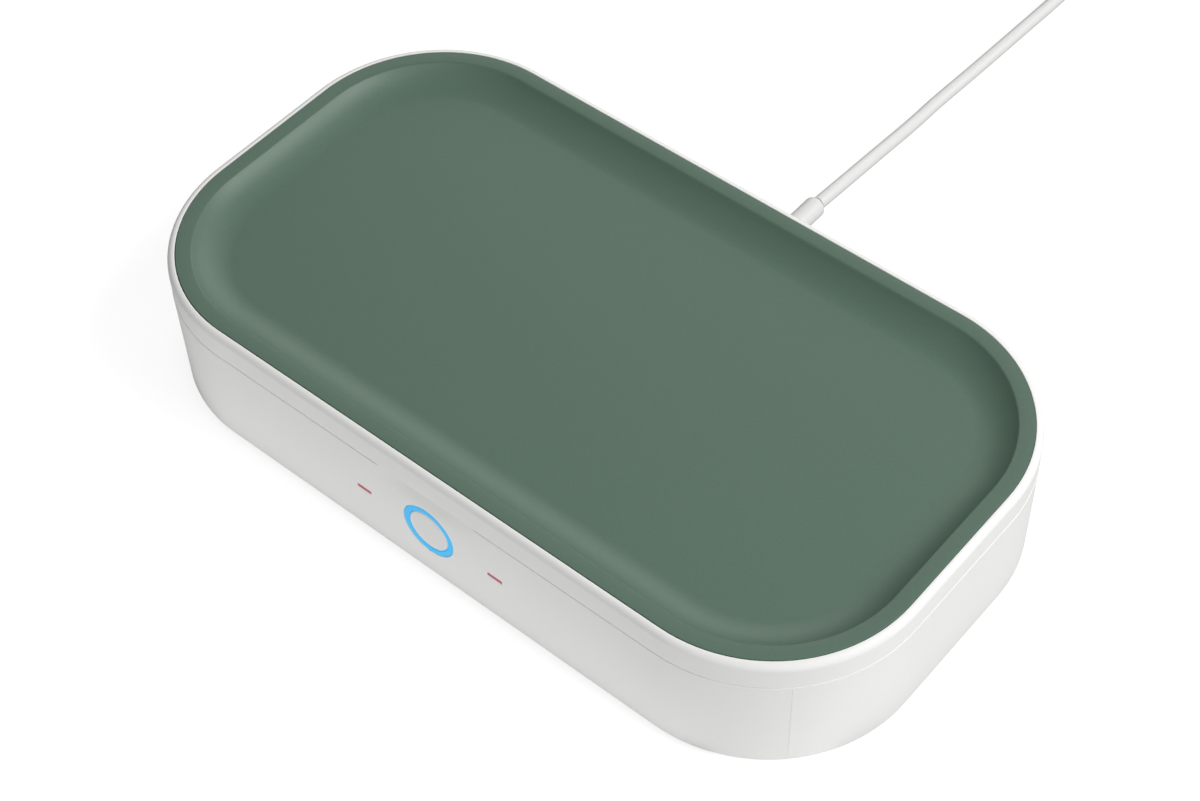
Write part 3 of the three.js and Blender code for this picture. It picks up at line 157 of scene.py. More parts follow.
# Port and hinge
PORT_X = 5
PORT_Z = 13.2
SOCKET_WIDTH = 9
SOCKET_HEIGHT = 3.2
HINGE_Y = 66.55
HINGE_Z = 30.3
KNUCKLE_RADIUS = 2.5
KNUCKLE_EDGE = 0.25
PIN_BORE_RADIUS = 1.3
PIN_END_WALL = 0.5
WALL_CLEARANCE = 0.4
GUSSET_RISE = 1.6
GUSSET_DROP = 7
ARM_RISE = 5.4
BASE_BARREL_ANGLES = (120, -50)
LID_BARREL_ANGLES = (35, -180)
BASE_KNUCKLES = ((18, 26), (38.3, 46.3))
LID_KNUCKLE = (26.3, 38)
LEAD_KNUCKLE = (0.2, 6)
LEAD_BORE_RADIUS = 0.8
LEAD_BEND = 2.5
LEAD_BEND_STEPS = 4
BASE_LEAD = ((-4, 56.65, 20), (-4, 56.65, 30.3), (-4, 66.55, 30.3), (-0.15, 66.55, 30.3))
LID_LEAD = ((0.15, 66.55, 30.3), (4, 66.55, 30.3), (4, 65.35, 34.2), (4, 63.15, 35.3), (4, 55, 35.3))

# Lid
LID_WALL = 2.2
LID_SETBACK = 0.12
LID_LIP = 33.4
LID_LIP_ROUND = 0.1
LID_LIP_DEPTH = 1.1
RIM_ROUND = 1.9
RIM_INNER_ROUND = 0.15
LID_LEDGE_INNER = 5.8
LID_LEDGE_TOP = 39.8
LID_LEDGE_THICKNESS = 1.5
LID_SCREW_INSET = 5.9
LID_SCREW_Z = 33.15
LID_BOSS_RADIUS = 1.9
LID_BOSS_OVERLAP = 0.1
TRAY_TOP = 41.5
TRAY_EDGE = 2.36
TRAY_SHIFT = 0.14
TRAY_EDGE_ROUND = 0.15
TRAY_BAND = 3.89
TRAY_RIM_THICKNESS = 1.4
TRAY_DISH_WIDTH = 10.6
TRAY_DEPTH = 4.7
TRAY_THICKNESS = 1
INNER_FLANGE_BOTTOM = 33.4
INNER_FLANGE_TOP = 34.6
INNER_COVER_EDGE = 2.5
INNER_COVER_INSET = 15.2
INNER_COVER_WALL = 1.6
INNER_COVER_ROUND = 1
CEILING_BOTTOM = 30
CEILING_TOP = 32
SCREW_SEAT_DEPTH = 0.65
SEAL_INSET = 9.6
SEAL_WIDTH = 2
SEAL_THICKNESS = 0.6
SEAL_PROUD = 0.3
SEAL_ROUND = 0.25

# Plug, cord, coil and far plug
PLUG_WIDTH = 11
PLUG_HEIGHT = 6.5
PLUG_LENGTH = 18
PLUG_ROUND = 2.6
SLEEVE_RADIUS = 3.15
SLEEVE_LENGTH = 11.3

# The plug's ends: how much narrower, lower and sharper its section is, and how far from that end
PLUG_NEAR_END = ((1.2, 1.2, 0.6, 0), (0.4, 0.4, 0.2, 0.25), (0, 0, 0, 0.8))
PLUG_FAR_END = ((0, 0, 0, 2.4), (0.5, 0.03, 0, 1.4), (1.9, 0.08, -0.1, 0.6))

# How much wider and higher than the sleeve the plug's neck is, and how far past the plug
PLUG_NECK = ((1, 0.05, 0), (0.01, 0.005, 0.5))

# The sleeve's far end: how much less than its radius, or more than the cord's, and how far from the end
SLEEVE_END = ((0, 3), (0, 1.7), (0.07, 1.25), (0.25, 0.85), (0.5, 0.55), (0.8, 0.3))
SLEEVE_MOUTH = ((0.1, 0.1), (-0.1, 0))

CORD_RADIUS = 2
CORD_START_Y = 93.55
CORD_ROUTE = (
    (5.3, 101, 13),
    (4.7, 113, 10.9),
    (3.4, 126, 7.5),
    (2.2, 138, 4.3),
    (1.6, 148, 2.5),
    (1.6, 158, 2.15),
    (2.6, 179, 2.1),
    (3.5, 201, 2.1),
    (4.3, 221, 2.15),
    (4.8, 234, 2.7),
)
ROUTE_STEPS = 6
COIL_CENTRE = (-25.3, 247)
COIL_RADIUS = 30.2
COIL_PITCH = 4.5
COIL_TURNS_IN_LAYER = 3.625
COIL_TURN_STEPS = 36
COIL_LOWER_Z = 3.35
COIL_LEAD = 4
COIL_TAIL = 27
COIL_TAIL_STEPS = 18
COIL_LEVEL_SHARE = 0.3
TIE_THICKNESS = 1
TIE_WIDTH = 8
TIE_GAP = 0.35
TIE_ROUND = 2.6
TIE_EDGE = 0.15
USB_WIDTH = 15.6
USB_HEIGHT = 7.8
USB_LENGTH = 21
USB_SHELL = (12, 4.5, 12.5)
USB_SHELL_WALL = 0.3
USB_SHELL_ROUNDS = (0.6, 0.35)
USB_TONGUE = (10.6, 1.8, 11)
USB_TONGUE_EDGE = 0.2

# The far plug's grip: how much narrower and lower it is, its rounding, and how far from its front
USB_GRIP = (
    (1.4, 1.4, 0.9, 0),
    (0.4, 0.4, 1.4, 0.2),
    (0, 0, 1.6, 0.7),
    (0, 0, 1.6, 13),
    (0.6, 0.05, 2, 14.6),
    (2.4, 0.3, 2.8, 16.2),
    (5.4, 1, 3.2, 17.6),
    (8.2, 1.8, 3, 18.8),
    (10.2, 2.4, 2.7, 20.2),
    (11.4, 3.6, 2.1, USB_LENGTH),
)

# The photograph's camera
CAMERA_PLACE = (262.66, -294.12, 487.8 + BASE_BOTTOM)
CAMERA_AZIMUTH = 41.49
CAMERA_ELEVATION = 50.53
CAMERA_ROLL = 2.1
CAMERA_LENS = 70.01

# Light and floor; each lamp has its power, width, height, place and the place that it points at
WORLD_LEVEL = 0.26
LAMPS = (
    ("key", 21, 1.3, 0.9, (1.1, 0.49, 1.2), (0, 0, 0)),
    ("back", 7.8, 1.6, 1, (-0.6, 1.5, 0.75), (0, 0, 0)),
    ("front", 5.5, 1.2, 0.9, (0.9, -1, 0.95), (0, 0, 0)),
    ("floor_glow", 0.088, 0.32, 0.1, (-0.072, -0.118, 0.0005), (-0.072, -0.118, 1)),
    ("corner_glow", 0.027, 0.14, 0.12, (0.158, -0.105, 0.0005), (0.158, -0.105, 1)),
    ("end_glow", 0.012, 0.1, 0.16, (0.172, 0.01, 0.0005), (0.172, 0.01, 1)),
)
FLOOR_HALF = 3
FLOOR_GREY = 0.4
FLOOR_ROUGHNESS = 0.9
FLOOR_LIFT = 0.78

# Steps and sides of round shapes
CORNER_STEPS = 26
EDGE_STEPS = 5
DISH_STEPS = 18
FINE_SIDES = 96
SIDES = 48
SECTION_STEPS = 8
BARREL_STEP_DEGREES = 8
CURVE_RESOLUTION = 6
MERGE_DISTANCE = 1e-7

# Materials: how far the mottle changes the roughness, and the bump's strength
ROUGHNESS_SPREAD = 0.08
BUMP_STRENGTH = 0.5


def place(x, y, z):
    """A point of the shell's frame, in millimetres, as a point of the row frame, in metres."""
    return Vector((x, y - (HINGE_Y + KNUCKLE_RADIUS - BACK_Y) / 2, z)) * MM


def add_camera():
    azimuth, elevation, roll = map(math.radians, (CAMERA_AZIMUTH, CAMERA_ELEVATION, CAMERA_ROLL))
    back = Vector((
        math.sin(azimuth) * math.cos(elevation),
        -math.cos(azimuth) * math.cos(elevation),
        math.sin(elevation),
    ))
    right = Vector((0, 0, 1)).cross(back).normalized()
    up = back.cross(right)
    across = math.cos(roll) * right - math.sin(roll) * up
    upward = math.sin(roll) * right + math.cos(roll) * up
    data = bpy.data.cameras.new("camera")
    data.lens = CAMERA_LENS
    camera = bpy.data.objects.new("camera", data)
    bpy.context.scene.collection.objects.link(camera)
    turn = Matrix((across, upward, back)).transposed().to_4x4()
    camera.matrix_world = Matrix.Translation(place(*CAMERA_PLACE)) @ turn
    bpy.context.scene.camera = camera


def smooth_route(corners, steps):
    """Points of a smooth curve through the corners, the same curve as in the CAD source."""
    chain = [2 * corners[0] - corners[1], *corners, 2 * corners[-1] - corners[-2]]
    points = []
    for a, b, c, d in zip(chain, chain[1:], chain[2:], chain[3:]):
        before, along, after = ((q - p).length ** 0.5 for p, q in ((a, b), (b, c), (c, d)))
        leaving = ((b - a) / before - (c - a) / (before + along) + (c - b) / along) * along
        arriving = ((c - b) / along - (d - b) / (along + after) + (d - c) / after) * along
        for step in range(steps):
            t = step / steps
            points.append(
                (2 * t ** 3 - 3 * t ** 2 + 1) * b + (t ** 3 - 2 * t ** 2 + t) * leaving
                + (3 * t ** 2 - 2 * t ** 3) * c + (t ** 3 - t ** 2) * arriving)
    return points


def smoothstep(value, low, high):
    share = min(max((value - low) / (high - low), 0), 1)
    return share * share * (3 - 2 * share)


def coil_points():
    """The coil winds in on its lower layer, climbs where it reverses, winds out and runs to the plug."""
    centre_x, centre_y = COIL_CENTRE
    turns = 2 * COIL_TURNS_IN_LAYER
    steps = round(turns * COIL_TURN_STEPS)
    points = [Vector((centre_x + COIL_RADIUS, centre_y - COIL_LEAD, COIL_LOWER_Z))]
    for step in range(steps + 1):
        turn = turns * step / steps
        radius = COIL_RADIUS - COIL_PITCH * (COIL_TURNS_IN_LAYER - abs(turn - COIL_TURNS_IN_LAYER))
        climb = smoothstep(turn, COIL_TURNS_IN_LAYER - 1 / 4, COIL_TURNS_IN_LAYER + 1 / 4)
        angle = 2 * math.pi * turn
        points.append(Vector((
            centre_x + radius * math.cos(angle),
            centre_y + radius * math.sin(angle),
            COIL_LOWER_Z + COIL_PITCH * climb,
        )))
    end = points[-1]
    for step in range(1, COIL_TAIL_STEPS + 1):
        share = step / COIL_TAIL_STEPS
        sinking = smoothstep(share, COIL_LEVEL_SHARE, 1)
        points.append(Vector((
            end.x - COIL_TAIL * share,
            end.y,
            end.z + (USB_HEIGHT / 2 - end.z) * sinking,
        )))
    points.append(Vector((end.x - COIL_TAIL - COIL_LEAD, end.y, USB_HEIGHT / 2)))
    return points


def add_curve(name, points, radius):
    data = bpy.data.curves.new(name, "CURVE")
    data.dimensions = "3D"
    data.bevel_depth = radius * MM
    data.bevel_resolution = CURVE_RESOLUTION
    data.use_fill_caps = True
    spline = data.splines.new("POLY")
    spline.points.add(len(points) - 1)
    for target, point in zip(spline.points, points):
        target.co = (*place(*point), 1)
    curve = bpy.data.objects.new(name, data)
    bpy.context.scene.collection.objects.link(curve)
    return curve


add_camera()
coil = coil_points()
route = [Vector((PORT_X, CORD_START_Y, PORT_Z)), *map(Vector, CORD_ROUTE), coil[0]]
cord_line = smooth_route(route, ROUTE_STEPS) + coil
cord = add_curve("cord", cord_line, CORD_RADIUS)


def srgb(red, green, blue):
    """A linear colour from the three numbers from 0 to 255 that a picture shows."""
    def linear(value):
        share = value / 255
        return share / 12.92 if share <= 0.04045 else ((share + 0.055) / 1.055) ** 2.4
    return (linear(red), linear(green), linear(blue), 1)


def scaled(color, factor):
    return (*(min(value * factor, 1) for value in color[:3]), 1)


class Surface:
    """A principled material with a fine mottle in its colour and roughness and a fine grain."""

    def __init__(self, name, color, roughness, mottle=0.03, mottle_scale=60,
                 grain=0.01, grain_scale=2500, **values):
        self.material = bpy.data.materials.new(name)
        self.material.use_nodes = True
        self.tree = self.material.node_tree
        self.shader = self.tree.nodes["Principled BSDF"]
        self.coordinates = self.node("ShaderNodeTexCoord").outputs["Object"]
        noise = self.node("ShaderNodeTexNoise", Scale=mottle_scale, Detail=4)
        self.link(self.coordinates, noise.inputs["Vector"])
        mixed = self.mix(noise.outputs["Fac"], scaled(color, 1 - mottle), scaled(color, 1 + mottle))
        self.link(mixed, self.shader.inputs["Base Color"])
        rough = self.node("ShaderNodeMapRange")
        self.link(noise.outputs["Fac"], rough.inputs["Value"])
        rough.inputs["To Min"].default_value = roughness * (1 - ROUGHNESS_SPREAD)
        rough.inputs["To Max"].default_value = min(roughness * (1 + ROUGHNESS_SPREAD), 1)
        self.link(rough.outputs["Result"], self.shader.inputs["Roughness"])
        fine = self.node("ShaderNodeTexNoise", Scale=grain_scale, Detail=2)
        self.link(self.coordinates, fine.inputs["Vector"])
        bump = self.node("ShaderNodeBump", Strength=BUMP_STRENGTH, Distance=grain * MM)
        self.link(fine.outputs["Fac"], bump.inputs["Height"])
        self.link(bump.outputs["Normal"], self.shader.inputs["Normal"])
        for key, value in values.items():
            self.shader.inputs[key.replace("_", " ")].default_value = value

    def node(self, kind, **values):
        made = self.tree.nodes.new(kind)
        for key, value in values.items():
            made.inputs[key].default_value = value
        return made

    def link(self, source, target):
        self.tree.links.new(source, target)

    def mix(self, share, low, high):
        """A colour between two, where the share is a node's output."""
        node = self.tree.nodes.new("ShaderNodeMix")
        node.data_type = "RGBA"
        # The node has inputs for every type of data; these are its factor and its two colours
        factor, first, second = (node.inputs[i] for i in (0, 6, 7))
        self.link(share, factor)
        first.default_value = low
        second.default_value = high
        return node.outputs[2]


LIT_BLUE = srgb(67, 182, 236)

# Each surface: its name, colour and roughness, then what differs from the usual mottle and grain
white_shell = Surface(
    "white_plastic", srgb(243, 243, 241), 0.5, mottle=0.006, grain=0.006, Specular_IOR_Level=0.4)
white_cover = Surface("white_cover_plastic", srgb(236, 236, 234), 0.5, mottle=0.01, grain=0.02)
white_button = Surface("button_plastic", srgb(241, 241, 240), 0.4, mottle=0.006, grain=0.006)
green_tray = Surface(
    "green_soft_plastic", srgb(86, 112, 96), 0.45,
    mottle=0.09, mottle_scale=1500, grain=0.05, grain_scale=3000, Specular_IOR_Level=0.6)
blue_light = Surface(
    "blue_light", LIT_BLUE, 0.4, mottle=0.02, Emission_Color=LIT_BLUE, Emission_Strength=0.35)
red_light = Surface(
    "red_light", srgb(184, 92, 104), 0.4, mottle=0.03,
    Emission_Color=srgb(206, 100, 112), Emission_Strength=0.2)
bright_liner = Surface("bright_liner_plastic", srgb(222, 225, 228), 0.2, mottle=0.01, Metallic=0.55)
circuit_board = Surface("circuit_board", srgb(40, 92, 56), 0.45, mottle=0.25, mottle_scale=700)
black_plastic = Surface("black_plastic", srgb(38, 40, 42), 0.5, mottle=0.1)
steel = Surface("brushed_steel", srgb(186, 188, 192), 0.32, mottle=0.05, mottle_scale=1500, Metallic=1)
magnet_plating = Surface("nickel_plating", srgb(198, 200, 204), 0.22, mottle=0.03, Metallic=1)
window_glass = Surface(
    "window_glass", srgb(232, 240, 244), 0.04, mottle=0.005, grain=0.001,
    Transmission_Weight=1, IOR=1.46)
copper = Surface("copper", srgb(186, 112, 62), 0.35, mottle=0.12, mottle_scale=800, Metallic=1)
ferrite = Surface("ferrite", srgb(52, 52, 55), 0.8, mottle=0.15, mottle_scale=900)
foot_rubber = Surface("foot_rubber", srgb(200, 200, 197), 0.85, mottle=0.05, grain=0.03)
seal_rubber = Surface("seal_rubber", srgb(140, 145, 143), 0.85, mottle=0.05, grain=0.03)
lead_jacket = Surface("lead_jacket", srgb(48, 50, 52), 0.55, mottle=0.08)
cord_jacket = Surface("cord_jacket", srgb(228, 228, 226), 0.42, mottle=0.008, grain=0.01)
tie_fabric = Surface("tie_fabric", srgb(222, 222, 220), 0.9, mottle=0.12, mottle_scale=1800, grain=0.12)


# Shapes are lists of loops, each a ring of points, that skin() joins into one closed mesh

def outline(inset, level, front_half=0):
    """The box's outline drawn in by an inset; front_half asks for fine points in the front's middle."""
    radius = CORNER_RADIUS - inset
    loop = []
    for corner, (sign_x, sign_y) in enumerate(((1, 1), (-1, 1), (-1, -1), (1, -1))):
        for step in range(CORNER_STEPS + 1):
            angle = (corner + step / CORNER_STEPS) * math.pi / 2
            loop.append((
                sign_x * (BOX_LENGTH / 2 - CORNER_RADIUS) + radius * math.cos(angle),
                sign_y * (BOX_WIDTH / 2 - CORNER_RADIUS) + radius * math.sin(angle),
                level,
            ))
        if corner == 2 and front_half:
            loop.extend((x, FRONT_Y + inset, level) for x in range(-front_half, front_half + 1))
    return loop


def arc(inset, level, radius, start, end, steps=EDGE_STEPS):
    """Points of an arc in a profile, about a centre, angles in degrees from the inward direction."""
    angles = (math.radians(start + (end - start) * step / steps) for step in range(steps + 1))
    return [(inset + radius * math.cos(a), level + radius * math.sin(a)) for a in angles]


def circle(radius, along, sides=SIDES):
    angles = (2 * math.pi * k / sides for k in range(sides))
    return [(radius * math.cos(a), radius * math.sin(a), along) for a in angles]


def section(width, height, radius, y):
    """A rectangle with rounded corners, standing across Y."""
    loop = []
    for corner, (sign_x, sign_z) in enumerate(((1, 1), (-1, 1), (-1, -1), (1, -1))):
        for step in range(SECTION_STEPS + 1):
            angle = (corner + step / SECTION_STEPS) * math.pi / 2
            loop.append((
                sign_x * (width / 2 - radius) + radius * math.cos(angle),
                y,
                sign_z * (height / 2 - radius) + radius * math.sin(angle),
            ))
    return loop


def skin(loops, closed=False):
    """Points and faces over a stack of loops with as many points each, capped unless it is closed."""
    count = len(loops[0])
    points = [point for loop in loops for point in loop]
    faces = []
    for band in range(len(loops) if closed else len(loops) - 1):
        low = band * count
        high = (band + 1) % len(loops) * count
        for i in range(count):
            n = (i + 1) % count
            faces.append((low + i, low + n, high + n, high + i))
    if not closed:
        faces.append(tuple(range(count)))
        faces.append(tuple(range((len(loops) - 1) * count, len(loops) * count)))
    return points, faces


def moved(shape, x=0, y=0, z=0, turn=None):
    points, faces = shape
    turned_points = [turn @ Vector(point) if turn else Vector(point) for point in points]
    return [(p.x + x, p.y + y, p.z + z) for p in turned_points], faces


def joined(*shapes):
    points, faces = [], []
    for more_points, more_faces in shapes:
        faces.extend(tuple(len(points) + i for i in face) for face in more_faces)
        points.extend(more_points)
    return points, faces


def turned(profile, sides=SIDES):
    """Turns [radius, along] pairs round Z; the ends are capped where the profile is open."""
    closed = profile[0] == profile[-1]
    pairs = profile[:-1] if closed else profile
    return skin([circle(radius, along, sides) for radius, along in pairs], closed)


def extruded(loop, start, end):
    """A prism along X from a loop of points in Y and Z."""
    return skin([[(x, y, z) for y, z in loop] for x in (start, end)])


LAY_ALONG_Y = Matrix.Rotation(-math.pi / 2, 3, "X")
LAY_ALONG_X = Matrix.Rotation(math.pi / 2, 3, "Y")


def rod(radius, start, end, sides=SIDES):
    return turned([(radius, start), (radius, end)], sides)


def rod_y(radius, start, end, x, z, sides=SIDES):
    return moved(rod(radius, start, end, sides), x, 0, z, LAY_ALONG_Y)


def block(low, high):
    corners = ((low[0], low[1]), (high[0], low[1]), (high[0], high[1]), (low[0], high[1]))
    return skin([[(x, y, z) for x, y in corners] for z in (low[2], high[2])])


def make(name, shape):
    """An object of a shape given in the shell's frame, with its faces pointing out."""
    points, faces = shape
    mesh = bpy.data.meshes.new(name)
    mesh.from_pydata([place(*point) for point in points], [], faces)
    shaped = bmesh.new()
    shaped.from_mesh(mesh)
    bmesh.ops.remove_doubles(shaped, verts=shaped.verts, dist=MERGE_DISTANCE)
    bmesh.ops.recalc_face_normals(shaped, faces=shaped.faces)
    shaped.to_mesh(mesh)
    shaped.free()
    made = bpy.data.objects.new(name, mesh)
    bpy.context.scene.collection.objects.link(made)
    return made


def apply_modifiers(piece):
    graph = bpy.context.evaluated_depsgraph_get()
    mesh = bpy.data.meshes.new_from_object(piece.evaluated_get(graph))
    piece.modifiers.clear()
    piece.data = mesh


def carve(piece, shape, operation="DIFFERENCE"):
    """Cuts a shape out of a piece, or adds it with operation UNION."""
    tool = make("tool", shape) if isinstance(shape, tuple) else shape
    change = piece.modifiers.new("carve", "BOOLEAN")
    change.operation = operation
    change.solver = "EXACT"
    change.object = tool
    apply_modifiers(piece)
    bpy.data.objects.remove(tool)


def softened(piece, width, segments=2, angle=35):
    """Rounds a piece's sharp edges."""
    bevel = piece.modifiers.new("soften", "BEVEL")
    bevel.width = width * MM
    bevel.segments = segments
    bevel.limit_method = "ANGLE"
    bevel.angle_limit = math.radians(angle)
    apply_modifiers(piece)
    return piece


def finished(piece, surface, body, nodes, sharp=32):
    """Smooths a piece, gives it its material and its body, and lets it stand for its CAD nodes."""
    piece.data.shade_smooth()
    piece.data.set_sharp_from_angle(angle=math.radians(sharp))
    weighted = piece.modifiers.new("weighted", "WEIGHTED_NORMAL")
    weighted.keep_sharp = True
    piece.data.materials.clear()
    piece.data.materials.append(surface.material)
    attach(piece, body)
    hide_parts(*nodes)
    return piece


def scooped(shape):
    """Sinks the thumb scoop into the outside of the front, rolling in towards the base's top edge."""
    points, faces = shape
    sunk = []
    for x, y, z in points:
        across = max(1 - (2 * x / SCOOP_WIDTH) ** 2, 0) ** SCOOP_END_POWER
        up = max(1 - (BASE_TOP - z) / SCOOP_HEIGHT, 0) ** SCOOP_ROLL_POWER
        outside = y < FRONT_Y + SEAM_ROUND + SCOOP_FADE
        sunk.append((x, y + SCOOP_DEPTH * across * up, z) if outside else (x, y, z))
    return sunk, faces


def steps_between(inset, low, high, size):
    """Levels up a straight wall, at most size apart, without its ends."""
    count = math.ceil((high - low) / size)
    return [(inset, low + (high - low) * k / count) for k in range(1, count)]


def ring_of(profile, front_half=0):
    return skin([outline(inset, level, front_half) for inset, level in profile], True)


def plate_of(profile):
    return skin([outline(inset, level) for inset, level in profile])


def barrel(angles):
    """Points round the hinge's barrel in Y and Z, between two angles in degrees from +Y."""
    start, end = angles
    steps = math.ceil(abs(end - start) / BARREL_STEP_DEGREES)
    found = (math.radians(start + (end - start) * k / steps) for k in range(steps + 1))
    return [(HINGE_Y + KNUCKLE_RADIUS * math.cos(a), HINGE_Z + KNUCKLE_RADIUS * math.sin(a)) for a in found]


ROOT_Y = BACK_Y - JOIN_OVERLAP
BASE_KNUCKLE_LOOP = [
    (ROOT_Y, HINGE_Z + GUSSET_RISE),
    *barrel(BASE_BARREL_ANGLES),
    (ROOT_Y, HINGE_Z - GUSSET_DROP),
]
LID_KNUCKLE_LOOP = [
    (BACK_Y + WALL_CLEARANCE, LID_BOTTOM + FIT_GAP),
    (ROOT_Y, LID_BOTTOM + FIT_GAP),
    (ROOT_Y, LID_BOTTOM + ARM_RISE),
    (BACK_Y, LID_BOTTOM + ARM_RISE),
    *barrel(LID_BARREL_ANGLES),
]


def knuckle(loop, start, end):
    return softened(make("tool", extruded(loop, start, end)), KNUCKLE_EDGE)


def pin_bore(side):
    near, far = BASE_KNUCKLES[0][0] + PIN_END_WALL, BASE_KNUCKLES[1][1] + CUT_OVERRUN
    start, end = sorted((side * near, side * far))
    return moved(rod(PIN_BORE_RADIUS, start, end), 0, HINGE_Y, HINGE_Z, LAY_ALONG_X)


def lead_bore(corners):
    """The way of the lead through a knuckle, as a mesh tube with rounded corners."""
    corners = [Vector(corner) for corner in corners]
    points = [corners[0]]
    for before, corner, after in zip(corners, corners[1:], corners[2:]):
        back, ahead = before - corner, after - corner
        reach = min(LEAD_BEND, back.length / 2, ahead.length / 2)
        start, end = corner + back.normalized() * reach, corner + ahead.normalized() * reach
        for step in range(LEAD_BEND_STEPS + 1):
            t = step / LEAD_BEND_STEPS
            points.append(start.lerp(corner, t).lerp(corner.lerp(end, t), t))
    curve = add_curve("tool_line", [*points, corners[-1]], LEAD_BORE_RADIUS)
    graph = bpy.context.evaluated_depsgraph_get()
    tool = bpy.data.objects.new("tool", bpy.data.meshes.new_from_object(curve.evaluated_get(graph)))
    bpy.context.scene.collection.objects.link(tool)
    bpy.data.objects.remove(curve)
    return tool


CORNER_NAMES = ("front_left", "front_right", "back_left", "back_right")


def corner_places(inset):
    """Places in the middle of the outline's four corners, at an inset, in the order of their names."""
    reach = (CORNER_RADIUS - inset) * math.sqrt(1 / 2)
    x = BOX_LENGTH / 2 - CORNER_RADIUS + reach
    y = BOX_WIDTH / 2 - CORNER_RADIUS + reach
    return [(-x, -y), (x, -y), (-x, y), (x, y)]


def four_places(span):
    return [(sign_x * span[0] / 2, sign_y * span[1] / 2) for sign_y in (-1, 1) for sign_x in (-1, 1)]


def hairlines():
    """Shapes that cut the upright lines where the base's mould parts, one in the middle of each corner."""
    low = (CORNER_RADIUS - HAIRLINE_DEPTH, -HAIRLINE_WIDTH / 2, BASE_BOTTOM + BASE_EDGE_ROUND)
    high = (CORNER_RADIUS + CUT_OVERRUN, HAIRLINE_WIDTH / 2, BASE_TOP - SEAM_ROUND)
    for x, y in corner_places(CORNER_RADIUS):
        turn = Matrix.Rotation(math.atan2(math.copysign(1, y), math.copysign(1, x)), 3, "Z")
        yield moved(block(low, high), x, y, 0, turn)


def add_base_shell():
    piece = make("base_shell_look", scooped(ring_of([
        *arc(BASE_EDGE_ROUND, BASE_BOTTOM + BASE_EDGE_ROUND, BASE_EDGE_ROUND, 270, 180),
        *steps_between(0, BASE_TOP - SCOOP_HEIGHT - SCOOP_FINE_MARGIN, BASE_TOP - SEAM_ROUND, SCOOP_STEP),
        *arc(SEAM_ROUND, BASE_TOP - SEAM_ROUND, SEAM_ROUND, 180, 90),
        (BASE_WALL, BASE_TOP),
        (BASE_WALL, LEDGE_TOP),
        (BASE_LEDGE_INNER, LEDGE_TOP),
        (BASE_LEDGE_INNER, LEDGE_TOP - LEDGE_THICKNESS),
        (BASE_WALL, LEDGE_TOP - LEDGE_THICKNESS),
        (BASE_WALL, LOWER_LEDGE_BOTTOM + LOWER_LEDGE_THICKNESS),
        (BASE_LEDGE_INNER, LOWER_LEDGE_BOTTOM + LOWER_LEDGE_THICKNESS),
        (BASE_LEDGE_INNER, LOWER_LEDGE_BOTTOM),
        (BASE_WALL, LOWER_LEDGE_BOTTOM),
        (BASE_WALL, BASE_BOTTOM),
    ], SCOOP_FINE_HALF)))
    start, end = FRONT_Y - CUT_OVERRUN, FRONT_Y + BASE_WALL + CUT_OVERRUN
    holes = [rod_y(RING_RADIUS + LENS_GAP, start, end, 0, BUTTON_Z, FINE_SIDES)]
    mark = (MARK_LENGTH + 2 * LENS_GAP, MARK_HEIGHT + 2 * LENS_GAP, LENS_GAP)
    port = (SOCKET_WIDTH + 2 * FIT_GAP, SOCKET_HEIGHT + 2 * FIT_GAP, SOCKET_HEIGHT / 2 + FIT_GAP)
    for side in (-1, 1):
        mark_hole = skin([section(*mark, start), section(*mark, end)])
        holes.append(moved(mark_hole, side * MARK_SPACING / 2, 0, MARK_Z))
        boss_x, boss_end = side * BOSS_SPACING / 2, FRONT_Y + BOSS_END
        boss = rod_y(BOSS_RADIUS, FRONT_Y + BASE_WALL - JOIN_OVERLAP, boss_end, boss_x, BUTTON_Z)
        carve(piece, boss, "UNION")
        hole_ends = (boss_end - BOSS_HOLE_DEPTH, boss_end + CUT_OVERRUN)
        holes.append(rod_y(BOSS_HOLE_RADIUS, *hole_ends, boss_x, BUTTON_Z))
        for knuckle_ends in BASE_KNUCKLES:
            carve(piece, knuckle(BASE_KNUCKLE_LOOP, *sorted(side * x for x in knuckle_ends)), "UNION")
        holes.append(pin_bore(side))
    carve(piece, knuckle(BASE_KNUCKLE_LOOP, -LEAD_KNUCKLE[1], -LEAD_KNUCKLE[0]), "UNION")
    start, end = BACK_Y - BASE_WALL - CUT_OVERRUN, BACK_Y + CUT_OVERRUN
    holes.append(moved(skin([section(*port, start), section(*port, end)]), PORT_X, 0, PORT_Z))
    carve(piece, joined(*holes, *hairlines()))
    carve(piece, lead_bore(BASE_LEAD))
    finished(piece, white_shell, "base", ["base_shell"])


